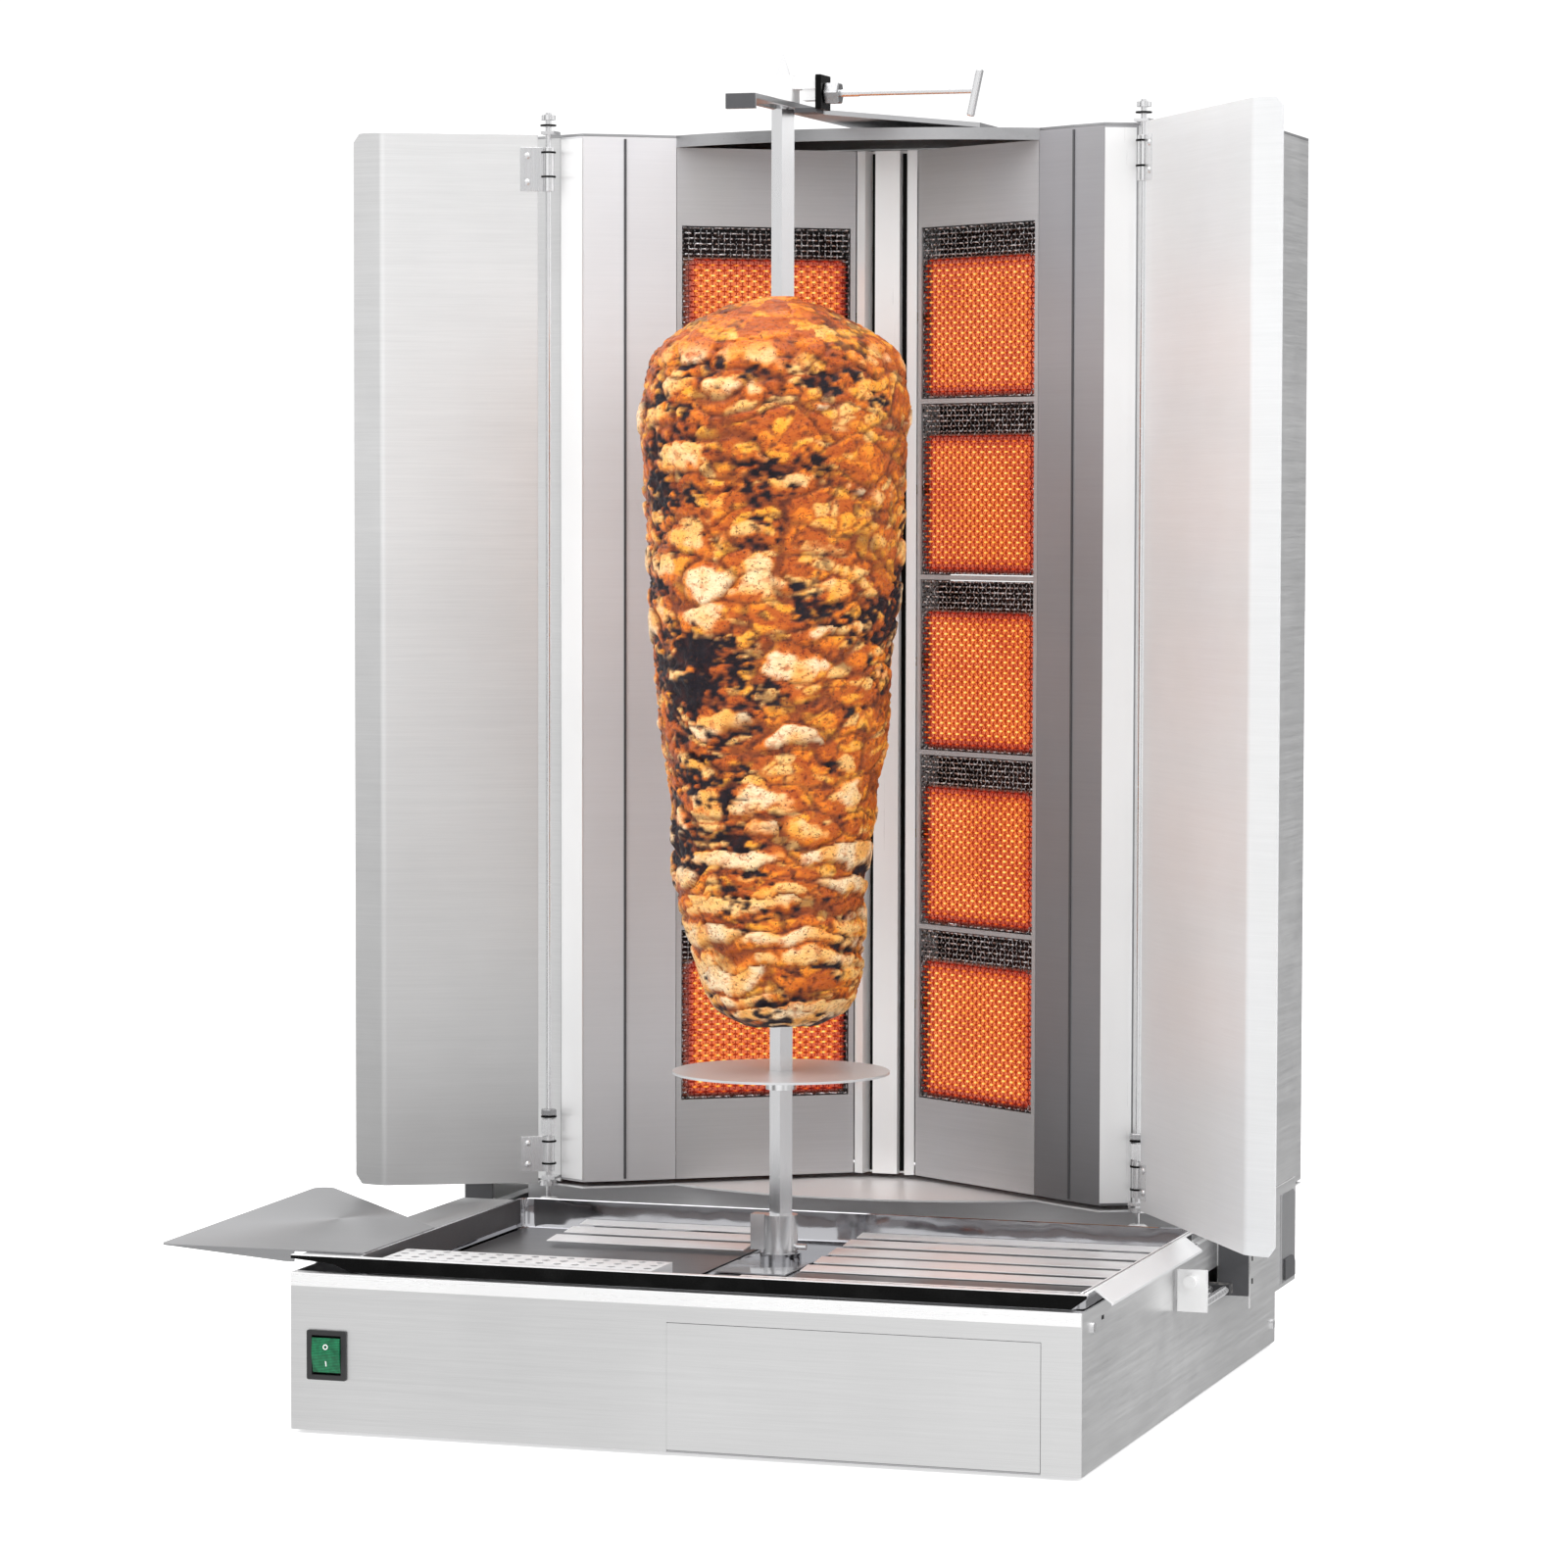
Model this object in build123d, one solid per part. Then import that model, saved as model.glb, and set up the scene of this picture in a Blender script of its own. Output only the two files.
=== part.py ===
"""Vertical gas rotisserie (kebab) grill: base with drip pan and grease drawer, burner tower with
two hinged wings, and a motor-driven upright spit that moves nearer to or further from the burners.

Frame: X to the right, Y from the front panel to the back, Z up. The origin is on the floor, under
the middle of the base. Plan positions are written as (x, back), where back is the distance
behind the front panel's face. Millimetres throughout.
"""
import os
from math import atan2, cos, degrees, hypot, radians, sin

from build123d import *

# ---- driving dimensions ------------------------------------------------------------------------
BASE_WIDTH = 640.0
BASE_DEPTH = 660.0
BASE_BOTTOM = 3.0            # underside of the housing, standing on the feet
BASE_TOP = 127.0             # top edge of the housing panels
SHEET = 1.5                  # stainless sheet of housing, tower and wings
GAP = 0.4                    # general clearance between moving sheet parts
FRONT_Y = -BASE_DEPTH / 2

DECK_TOP = 112.5             # recessed deck that carries the drip pan
PAN_FLOOR = 115.0            # inner floor of the pan
PAN_RIM = 140.0              # top of the pan's rim
PAN_LEFT = -268.0            # inner faces of the pan's walls
PAN_RIGHT = 316.0
PAN_FRONT = 12.0
PAN_REAR = 371.0
PAN_SHEET = 1.2
RIM_OVERHANG = 322.0         # half width of the pan's front lip

TOWER_BOTTOM = 148.0
TOWER_TOP = 1040.0
COLUMN_BOTTOM = 150.0        # burner columns, inside the tower's shell
COLUMN_TOP = 1030.0
INNER_EDGE = (27.5, 545.5)   # plan corners of the right burner column and its reflector
OUTER_EDGE = (159.3, 454.4)
FOLD_EDGE = (196.0, 428.0)
POST_EDGE = (227.0, 409.0)
HINGE_EDGE = (252.0, 421.5)
SHOULDER = (346.0, 470.0)    # where the tower's side turns back
TOWER_REAR = 640.0

BURNERS = 5                  # per column
BURNER_PITCH = 150.0
BURNER_TOP = 966.0
BURNER_WIDTH = 146.0
TILE_HEIGHT = 118.0
TILE_THICK = 12.0
SCREEN_THICK = 1.0
PLENUM_DEPTH = 34.0

HINGE_X = 259.0              # wing hinge axis
HINGE_BACK = 411.0
HINGE_ROD_R = 2.5
WING_LENGTH = {"left": 141.0, "right": 263.0}
WING_ANGLE = {"left": 63.5, "right": 32.5}      # opened this far from straight ahead
WING_FLANGE = 28.0
WING_FLANGE_BEND = 37.0
WING_START = 9.0

SPIT_BACK = 257.0
SPIT_SIDE = 13.0
SPIT_TURN = -32.0            # how the square bar stands at rest
SPIT_SHOULDER = 1044.0       # square bar becomes a round journal
SPIT_JOURNAL_R = 6.0
SPIT_CONE = 1071.0
SPIT_TIP = 1088.0
SOCKET_R = 13.8
SOCKET_TOP = 153.0
SOCKET_BOTTOM = 98.0
DISC_R = 88.0
DISC_Z = 270.0
SPIT_TRAVEL = 30.0           # each way
SLOT_COVER = 80.0            # half length of the sliding cover over the pan's slot
RAIL_FRONT = 120.0           # carriage rails reach this far before and behind the spit
RAIL_REAR = 182.0
RAIL_POST = 8.0

ARM_Z = 1045.0               # support arm over the tower
ARM_THICK = 4.0
BLOCK_SIDE = 22.0
RUNNING = 0.08               # radial clearance of journals

SWITCH = (-289.0, 63.0)      # centre of the power switch on the front panel, (x, z)
SWITCH_SIZE = (33.0, 39.0)
DRAWER = (-8.0, 288.0, 5.0, 103.0)   # front opening of the grease drawer: x, x, z, z
DRAWER_DEPTH = 300.0
KNOB_X = -200.0              # gas valves in a column on the tower's back
KNOB_R = 19.0
VALVE_SIDE = 24.0            # square brass valve bodies
GAS_INLET_Z = 172.0
GAS_INLET_R = 10.0
GAS_INLET_LENGTH = 25.0
FOOT_R = 17.0


# ---- helpers -------------------------------------------------------------------------------------
def block(x0, x1, back0, back1, z0, z1):
    """Box between two corners, with Y given as distances behind the front panel."""
    centre = ((x0 + x1) / 2, FRONT_Y + (back0 + back1) / 2, (z0 + z1) / 2)
    return Pos(*centre) * Box(x1 - x0, back1 - back0, z1 - z0)


def rod(x, back, z0, z1, radius):
    """Upright round bar."""
    return Pos(x, FRONT_Y + back, (z0 + z1) / 2) * Cylinder(radius, z1 - z0)


def rod_x(x0, x1, back, z, radius):
    """Round bar along X."""
    return Pos((x0 + x1) / 2, FRONT_Y + back, z) * Rot(0, 90, 0) * Cylinder(radius, x1 - x0)


def rod_y(x, back0, back1, z, radius):
    """Round bar along Y."""
    return Pos(x, FRONT_Y + (back0 + back1) / 2, z) * Rot(90, 0, 0) * Cylinder(radius, back1 - back0)


def hexagon(x, back, z0, z1, across):
    """Upright hexagonal nut body."""
    face = RegularPolygon(across / 2, 6, major_radius=False)
    return Pos(x, FRONT_Y + back, z0) * extrude(face, z1 - z0)


def plan_prism(points, z0, z1):
    """Extrude a closed plan outline of (x, back) points."""
    outline = Polyline(*[(x, FRONT_Y + back) for x, back in points], close=True)
    return Pos(0, 0, z0) * extrude(make_face(outline), z1 - z0)


def offset_line(points, distance):
    """Mitred copy of an open plan line, moved to its left by distance."""
    legs = list(zip(points[:-1], points[1:]))
    normals = []
    for (x0, y0), (x1, y1) in legs:
        length = hypot(x1 - x0, y1 - y0)
        normals.append((-(y1 - y0) / length, (x1 - x0) / length))
    moved = []
    for i, (x, y) in enumerate(points):
        before = normals[max(i - 1, 0)]
        after = normals[min(i, len(normals) - 1)]
        mx, my = before[0] + after[0], before[1] + after[1]
        scale = 2 / (mx * mx + my * my)
        moved.append((x + mx * scale * distance, y + my * scale * distance))
    return moved


def folded_sheet(points, thickness, z0, z1):
    """Upright folded sheet whose visible face follows the plan line; negative is to the right."""
    return plan_prism(points + offset_line(points, thickness)[::-1], z0, z1)


def mirrored(points, side):
    """Right-hand plan points, or their mirror image for the left side."""
    return [(-x, back) for x, back in points] if side == "left" else list(points)


def along(start, end, distance):
    """Plan point at a distance from start towards end."""
    length = hypot(end[0] - start[0], end[1] - start[1])
    share = distance / length
    return start[0] + (end[0] - start[0]) * share, start[1] + (end[1] - start[1]) * share


def to_plane(x, back, z, turn, solid):
    """Stand a solid built at the origin (X along the wall, -Y towards the spit) in the plan."""
    return Pos(x, FRONT_Y + back, z) * Rot(0, 0, turn) * solid


parts = {}


# ---- base housing --------------------------------------------------------------------------------
def base_housing():
    half = BASE_WIDTH / 2
    floor = block(-half + SHEET, half - SHEET, SHEET, BASE_DEPTH - SHEET, BASE_BOTTOM, BASE_BOTTOM + SHEET)
    parts["base_floor"] = floor

    front = block(-half, half, 0, SHEET, BASE_BOTTOM, BASE_TOP)
    lip = block(-half + SHEET, half - SHEET, SHEET, 10.0, BASE_TOP - SHEET, BASE_TOP)
    x0, x1, z0, z1 = DRAWER
    opening = block(x0 - GAP / 4, x1 + GAP, -1, SHEET + 1, BASE_BOTTOM - 1, z1 + GAP)
    sx, sz = SWITCH
    switch_cut = block(sx - 14, sx + 14, -1, SHEET + 1, sz - 17, sz + 17)
    parts["base_front_panel"] = front + lip - opening - switch_cut

    for side, sign in (("left", -1), ("right", 1)):
        inner, outer = sorted((sign * (half - SHEET), sign * half))
        panel = block(inner, outer, SHEET, BASE_DEPTH - SHEET, BASE_BOTTOM, BASE_TOP)
        edge = sorted((sign * (half - 11), sign * half))
        top = block(edge[0], edge[1], PAN_REAR + 6, BASE_DEPTH - SHEET, BASE_TOP - SHEET, BASE_TOP)
        panel = panel + top
        if side == "right":
            panel -= block(inner - 1, outer + 1, 352 - SPIT_TRAVEL, 420 + SPIT_TRAVEL, 80, 100)
        parts[f"base_side_{side}"] = panel

    back = block(-half, half, BASE_DEPTH - SHEET, BASE_DEPTH, BASE_BOTTOM, BASE_TOP)
    back -= rod_y(-250, BASE_DEPTH - 5, BASE_DEPTH + 5, 55, 10.0)
    for i in range(7):
        slot_x = 60 + i * 14
        back -= block(slot_x, slot_x + 5, BASE_DEPTH - 5, BASE_DEPTH + 5, 35, 85)
    parts["base_back_panel"] = back

    deck = block(-half + SHEET, half - SHEET, SHEET + 0.5, BASE_DEPTH - SHEET - 0.5, DECK_TOP - SHEET, DECK_TOP)
    deck -= block(-20, 20, SPIT_BACK - 20 - SPIT_TRAVEL, SPIT_BACK + 20 + SPIT_TRAVEL, 90, 130)
    deck += rod(140, 180, 98, DECK_TOP - SHEET, 12.0)
    deck -= rod(140, 180, 90, 130, 9.0)
    parts["base_deck"] = deck

    feet = [rod(sx * 285, b, 0, BASE_BOTTOM, FOOT_R) for sx in (-1, 1) for b in (40, 620)]
    feet.append(rod(0, BASE_DEPTH / 2, 0, BASE_BOTTOM, FOOT_R))
    parts["rubber_feet"] = Compound(feet)

    gland = rod_y(-250, BASE_DEPTH - 12, BASE_DEPTH + 14, 55, 9.9)
    nut = rod_y(-250, BASE_DEPTH, BASE_DEPTH + 6, 55, 14.0)
    gland = gland + nut - rod_y(-250, BASE_DEPTH - 20, BASE_DEPTH + 20, 55, 4.0)
    parts["power_gland"] = gland


def housing_screws():
    heads = []
    half = BASE_WIDTH / 2
    for sign in (-1, 1):
        for back, z in ((648, 58), (648, 20), (30, 112)):
            x0, x1 = sorted((sign * half, sign * (half + 2.0)))
            heads.append(rod_x(x0, x1, back, z, 4.2))
    for x in (-300, -100, 100, 300):
        for z in (14, 116):
            heads.append(rod_y(x, BASE_DEPTH, BASE_DEPTH + 2.0, z, 4.0))
    parts["housing_screws"] = Compound(heads)


def power_switch():
    sx, sz = SWITCH
    w, h = SWITCH_SIZE
    bezel = block(sx - w / 2, sx + w / 2, -2.5, 0, sz - h / 2, sz + h / 2)
    bezel = fillet(bezel.edges().filter_by(Axis.Y), 1.5)
    bezel += block(sx - 13.8, sx + 13.8, 0, 22, sz - 16.8, sz + 16.8)
    bezel -= block(sx - 12.3, sx + 12.3, -5, 12, sz - 15.6, sz + 15.6)
    for z in (-9, 9):
        bezel += block(sx - 3, sx + 3, 22, 31, sz + z - 0.5, sz + z + 0.5)
    pivot = rod_x(sx - 12.4, sx + 12.4, 6.0, sz, 1.5)
    parts["switch_bezel"] = bezel + pivot
    outline = Polyline((-3.4, 13.8), (-4.6, 0.6), (-1.2, -13.8), (2.2, -12.6), (8.5, -3), (8.5, 3),
                       (2.2, 12.6), close=True)
    face = Plane.YZ * make_face(outline)
    rocker = Pos(sx - 11.7, FRONT_Y, sz) * extrude(face, 23.4)
    rocker -= rod_x(sx - 15, sx + 15, 6.0, sz, 1.6)
    parts["switch_rocker"] = rocker


def grease_drawer():
    x0, x1, z0, z1 = DRAWER
    front = block(x0, x1, 0, SHEET, z0, z1)
    front += block(x0, x1 - 6, SHEET, 9, z1 - SHEET, z1)
    front += block(x1 - SHEET, x1, SHEET, 9, z0, z1 - 12)
    parts["drawer_front"] = front
    left, right, bottom, top = 50.0, x1 - 14, 14.0, 71.0
    tray = block(left, right, SHEET, DRAWER_DEPTH, bottom, top)
    tray -= block(left + SHEET, right - SHEET, SHEET + 1.2, DRAWER_DEPTH - SHEET, bottom + SHEET, top + 1)
    tray += block(left - 5, left, 14, DRAWER_DEPTH, 60, 61.5)
    tray += block(right, right + 5, 14, DRAWER_DEPTH, 60, 61.5)
    parts["drawer_tray"] = tray
    rails = []
    for wall, sign in ((left - 6.5, -1), (right + 6.5, 1)):
        a, b = sorted((wall, wall + sign * SHEET))
        web = block(a, b, 12, DRAWER_DEPTH + 12, BASE_BOTTOM + SHEET, 68)
        c, d = sorted((wall, wall - sign * 5.5))
        ledge = block(c, d, 12, DRAWER_DEPTH + 12, 58, 59.6)
        rails += [web, ledge]
    parts["drawer_runners"] = Compound(rails)


# ---- drip pan and side shelf ---------------------------------------------------------------------
def drip_pan():
    s = PAN_SHEET
    outer = block(PAN_LEFT - s, PAN_RIGHT + s, PAN_FRONT - s, PAN_REAR + s, PAN_FLOOR - s, PAN_RIM)
    hollow = block(PAN_LEFT, PAN_RIGHT, PAN_FRONT, PAN_REAR, PAN_FLOOR, PAN_RIM + 1)
    hollow = fillet(hollow.edges().filter_by(Axis.Z), 5)
    pan = outer - hollow
    pan += block(-RIM_OVERHANG, RIM_OVERHANG, 4.5, PAN_FRONT - s, BASE_TOP + 1.2, PAN_RIM)
    pan -= block(-RIM_OVERHANG + s, RIM_OVERHANG - s, 4.5 + s, PAN_FRONT - s - 0.01, BASE_TOP, PAN_RIM - s)
    pan += block(-RIM_OVERHANG, PAN_LEFT - s, PAN_FRONT - s, PAN_REAR, PAN_RIM - 3.6, PAN_RIM - 2.4)
    pan -= block(-17, 17, SPIT_BACK - 17 - SPIT_TRAVEL, SPIT_BACK + 17 + SPIT_TRAVEL, 100, 120)
    pan -= rod(140, 180, 100, 130, 9)

    outline = [(PAN_RIGHT + s, PAN_RIM), (PAN_RIGHT + s, PAN_RIM - s), (332, 127.4 + s), (332, 127.4),
             (333.2, 127.4), (333.2, 129.4), (PAN_RIGHT + 3.2, PAN_RIM)]
    face = Plane.XZ * make_face(Polyline(*outline, close=True))
    apron = Pos(0, FRONT_Y + 330, 0) * extrude(face, 290)
    parts["drip_pan"] = pan + apron


def side_shelf():
    top = PAN_RIM - 1.0
    corners = [(-273, 36), (-447, 31), (-463, 402), (-273, 185)]
    outline = Polyline(*[(x, FRONT_Y + b) for x, b in corners], close=True)
    face = make_face(outline)
    far = sorted(face.vertices(), key=lambda v: v.X)[0:2]
    face = fillet(far, 10)
    shelf = Pos(0, 0, top - 1.2) * extrude(face, 1.2)
    hem = Polyline((-446, top - 1.2), (-332, top - 1.2), (-332, top - 9.5), (-340, top - 9.5), close=True)
    shelf += Pos(0, FRONT_Y + 35.6, 0) * extrude(Plane.XZ * make_face(hem), 1.2)
    parts["side_shelf"] = shelf
    stay = block(-325.0, -323.5, 60, 170, 96, top - 1.2) + block(-323.5, -BASE_WIDTH / 2, 60, 170, 96, 112)
    parts["shelf_bracket"] = stay


# ---- spit drive --------------------------------------------------------------------------------
def spit_drive():
    b = SPIT_BACK
    rails = []
    for x in (-62, 62):
        rails.append(block(x - 5, x + 5, b - RAIL_FRONT, b + RAIL_REAR, 76, 80))
        for start in (b - RAIL_FRONT - RAIL_POST, b + RAIL_REAR):
            rails.append(block(x - 5, x + 5, start, start + RAIL_POST, 76, DECK_TOP - SHEET))
    parts["carriage_rails"] = Compound(rails)

    plate = block(-72, 72, b - 55, b + 65, 80.4, 83.4)
    plate -= rod(0, b, 70, 95, 15.0)
    bar = block(72, 344, 378, 392, 86.0, 94.0) + block(60, 80, 300, 392, 83.4, 94.0)
    parts["motor_carriage"] = plate + bar

    gearbox = block(-38, 38, b - 34, b + 50, 40, 80.4)
    gearbox += rod(0, b, 80.4, 86.0, 14.8)
    gearbox -= rod(0, b, 60, 90, SPIT_JOURNAL_R + RUNNING)
    parts["spit_gearbox"] = gearbox
    motor = rod(0, b, 12, 40, 27)
    motor += rod(0, b, 9.5, 12, 8)
    parts["spit_motor"] = motor

    rods = [rod_y(x, 292.5, 378, 90, 3.5) for x in (327.5, 340.5)]
    parts["adjuster_rods"] = Compound(rods)
    grip = block(322.5, 347, 290, 292.5, 85, 119) - block(338, 350, 280, 300, 80, 84)
    grip += rod_y(334, 282, 290, 110, 5.0)
    parts["adjuster_grip"] = grip

    cover = block(-30, 30, b - SLOT_COVER, b + SLOT_COVER, PAN_FLOOR + 0.4, PAN_FLOOR + 1.4)
    cover += rod(0, b, PAN_FLOOR + 1.4, PAN_FLOOR + 7, SOCKET_R + 3.0)
    cover -= rod(0, b, 100, 130, SOCKET_R + 0.5)
    parts["slot_cover"] = cover


def spit():
    b = SPIT_BACK
    square = Rectangle(SPIT_SIDE + 0.8, SPIT_SIDE + 0.8)
    well = Pos(0, FRONT_Y + b, 108) * Rot(0, 0, SPIT_TURN) * extrude(square, 60)
    socket = rod(0, b, SOCKET_BOTTOM, SOCKET_TOP, SOCKET_R)
    socket += rod(0, b, 62, SOCKET_BOTTOM, SPIT_JOURNAL_R)
    socket += block(-24, -11, b - 6, b + 6, PAN_FLOOR + 9, SOCKET_TOP)
    socket += rod_x(SOCKET_R - 2, SOCKET_R + 8, b, PAN_FLOOR + 12, 2.2)
    parts["drive_socket"] = socket - well

    face = Rectangle(SPIT_SIDE, SPIT_SIDE)
    bar = Pos(0, FRONT_Y + b, 109) * Rot(0, 0, SPIT_TURN) * extrude(face, SPIT_SHOULDER - 109)
    bar += rod(0, b, SPIT_SHOULDER, SPIT_CONE, SPIT_JOURNAL_R)
    cone_height = SPIT_TIP - SPIT_CONE
    bar += Pos(0, FRONT_Y + b, SPIT_CONE + cone_height / 2) * Cone(SPIT_JOURNAL_R, 0.6, cone_height)
    parts["spit_bar"] = bar

    hole = Pos(0, FRONT_Y + b, 240) * Rot(0, 0, SPIT_TURN) * extrude(Rectangle(13.4, 13.4), 60)
    collar = rod(0, b, DISC_Z - 15, DISC_Z - 2, 12.5) - hole
    collar += Pos(0, FRONT_Y + b, 0) * Rot(0, 0, SPIT_TURN) * Pos(10.5, 0, DISC_Z - 8.5) * Rot(0, 90, 0) \
        * Cylinder(2.5, 7)
    parts["spit_collar"] = collar
    parts["meat_disc"] = rod(0, b, DISC_Z - 2, DISC_Z, DISC_R) - hole

    side = Spline((58, 311), (76, 362), (93, 462), (111, 600), (116, 700), (121, 784), (104, 856), (62, 889))
    base_line = Line((0, 307), (40, 307))
    low = Line((40, 307), (58, 311))
    top_line = Line((62, 889), (0, 896))
    axis_line = Line((0, 896), (0, 307))
    profile = Plane.XZ * make_face(base_line + low + side + top_line + axis_line)
    meat = revolve(profile, Axis.Z)
    core = Rot(0, 0, SPIT_TURN) * extrude(Rectangle(13.4, 13.4), 1200)
    parts["meat_cone"] = Pos(0, FRONT_Y + b, 0) * (meat - core)


def top_bearing():
    b = SPIT_BACK
    arm = block(-12, 12, 150, TOWER_REAR - 60, ARM_Z, ARM_Z + ARM_THICK)
    gusset = plan_prism([(12, 330), (95, 500), (95, 560), (12, 560)], ARM_Z, ARM_Z + ARM_THICK)
    slot = block(-7.5, 7.5, b - 16 - SPIT_TRAVEL, b + 16 + SPIT_TRAVEL, ARM_Z - 5, ARM_Z + 20)
    arm = arm + gusset - slot
    arm += block(-12, 12, 150, 153, ARM_Z - 8, ARM_Z)
    arm += block(-12, 95, 520, 560, TOWER_TOP, ARM_Z)
    parts["support_arm"] = arm

    z0 = ARM_Z + ARM_THICK + 0.4
    z1 = SPIT_CONE - 0.5
    half = BLOCK_SIDE / 2
    bearing = block(-half, half, b - half, b + half, z0, z1)
    bearing = fillet(bearing.edges().filter_by(Axis.Z), 2)
    bearing += block(half - 0.5, 31, b - 8, b + 8, z1 - 11, z1 - 1)
    bearing += block(18, 31, b - 6, b + 6, z0 + 1, z1 - 10)
    bearing -= rod(0, b, z0 - 5, z1 + 5, SPIT_JOURNAL_R + RUNNING)
    parts["bearing_block"] = bearing
    plate = block(31, 36, b - 13, b + 13, ARM_Z - 2, z1)
    nut = Pos(36, FRONT_Y + b, 1056) * Rot(0, 90, 0) * extrude(RegularPolygon(9, 6, major_radius=False), 13)
    clamp = plate + nut - rod_x(15, 60, b, 1056, 3.08)
    shoe = block(13.0, 31, b - 10, b + 10, ARM_Z - 4.5, ARM_Z - 0.5)
    parts["clamp_plate"] = clamp + shoe + block(26, 31, b - 10, b + 10, ARM_Z - 4.5, ARM_Z - 2)

    screw = rod_x(32, 64, b, 1056, 3.0) + rod_x(64, 158, b, 1056, 2.6)
    handle = Pos(160, FRONT_Y + b, 1054) * Rot(0, 12, 0) * Box(5.0, 8.6, 38)
    handle = fillet(handle.edges(), 1.6)
    parts["clamp_screw"] = screw + handle


# ---- burner tower --------------------------------------------------------------------------------
def tower_shell():
    outline = [HINGE_EDGE, SHOULDER, (SHOULDER[0], TOWER_REAR)]
    feet = []
    for side in ("left", "right"):
        sign = 1 if side == "right" else -1
        wall = folded_sheet(mirrored(outline, side), sign * SHEET, TOWER_BOTTOM, TOWER_TOP - 2.2)
        parts[f"tower_side_{side}"] = wall

        face = [OUTER_EDGE, FOLD_EDGE, POST_EDGE, along(HINGE_EDGE, POST_EDGE, 0.3)]
        parts[f"reflector_{side}"] = folded_sheet(mirrored(face, side), sign * SHEET,
                                                  TOWER_BOTTOM + 2, TOWER_TOP - 2.2)

        channel = [(SHOULDER[0] + 2, 440), (SHOULDER[0] + 2, 612)]
        feet.append(folded_sheet(mirrored(channel, side), sign * SHEET, 66, 154))
        xs = sorted((sign * (BASE_WIDTH / 2), sign * (SHOULDER[0] + 2 - SHEET)))
        feet.append(block(xs[0], xs[1], 440, 442, 76, 128))
        feet.append(block(xs[0], xs[1], 590, 592, 76, 120))

    parts["tower_feet"] = Compound(feet)

    half = SHOULDER[0]
    back = block(-half, half, TOWER_REAR, TOWER_REAR + SHEET, TOWER_BOTTOM, TOWER_TOP - 2.2)
    for i in range(BURNERS):
        back -= rod_y(KNOB_X, TOWER_REAR - 5, TOWER_REAR + 5, knob_height(i), 7.0)
    back -= rod_y(KNOB_X, TOWER_REAR - 5, TOWER_REAR + 5, GAS_INLET_Z, GAS_INLET_R + 0.6)
    for row in range(10):
        for column in range(2):
            x = 30 + column * 150
            z = 300 + row * 60
            back -= block(x, x + 110, TOWER_REAR - 5, TOWER_REAR + 5, z, z + 7)
    parts["tower_back_cover"] = back

    parts["tower_cap"] = tower_deck(TOWER_TOP - 2, TOWER_TOP) + cap_lip()
    base = tower_deck(TOWER_BOTTOM - 3.5, TOWER_BOTTOM - 2)
    base += block(-300, 300, 470, 472, DECK_TOP, TOWER_BOTTOM - 3.5)
    base += block(-300, 300, 634, 636, DECK_TOP, TOWER_BOTTOM - 3.5)
    parts["tower_base_plate"] = base


def tower_deck(z0, z1):
    """Cover plate over the tower's plan, with an arched front edge over the burners."""
    right = [OUTER_EDGE, FOLD_EDGE, POST_EDGE, HINGE_EDGE, SHOULDER, (SHOULDER[0], TOWER_REAR + SHEET)]
    left = mirrored(right, "left")[::-1]
    points = right + left
    edge = Polyline(*[(x, FRONT_Y + y) for x, y in points])
    arch = ThreePointArc((-OUTER_EDGE[0], FRONT_Y + OUTER_EDGE[1]), (0, FRONT_Y + 414),
                         (OUTER_EDGE[0], FRONT_Y + OUTER_EDGE[1]))
    return Pos(0, 0, z0) * extrude(make_face(edge + arch), z1 - z0)


def cap_lip():
    """Down-turned strip under the cap's arched edge."""
    ends = [(-OUTER_EDGE[0], FRONT_Y + OUTER_EDGE[1]), (OUTER_EDGE[0], FRONT_Y + OUTER_EDGE[1])]
    outer = ThreePointArc(ends[0], (0, FRONT_Y + 414), ends[1])
    inner = ThreePointArc((ends[0][0], ends[0][1] + 1.6), (0, FRONT_Y + 415.5), (ends[1][0], ends[1][1] + 1.6))
    sides = Line(ends[0], (ends[0][0], ends[0][1] + 1.6)) + Line(ends[1], (ends[1][0], ends[1][1] + 1.6))
    return Pos(0, 0, TOWER_TOP - 10) * extrude(make_face(outer + inner + sides), 8)


def knob_height(index):
    """Height of one gas valve, level with its row of burners."""
    return BURNER_TOP - (index + 0.5) * BURNER_PITCH


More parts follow.
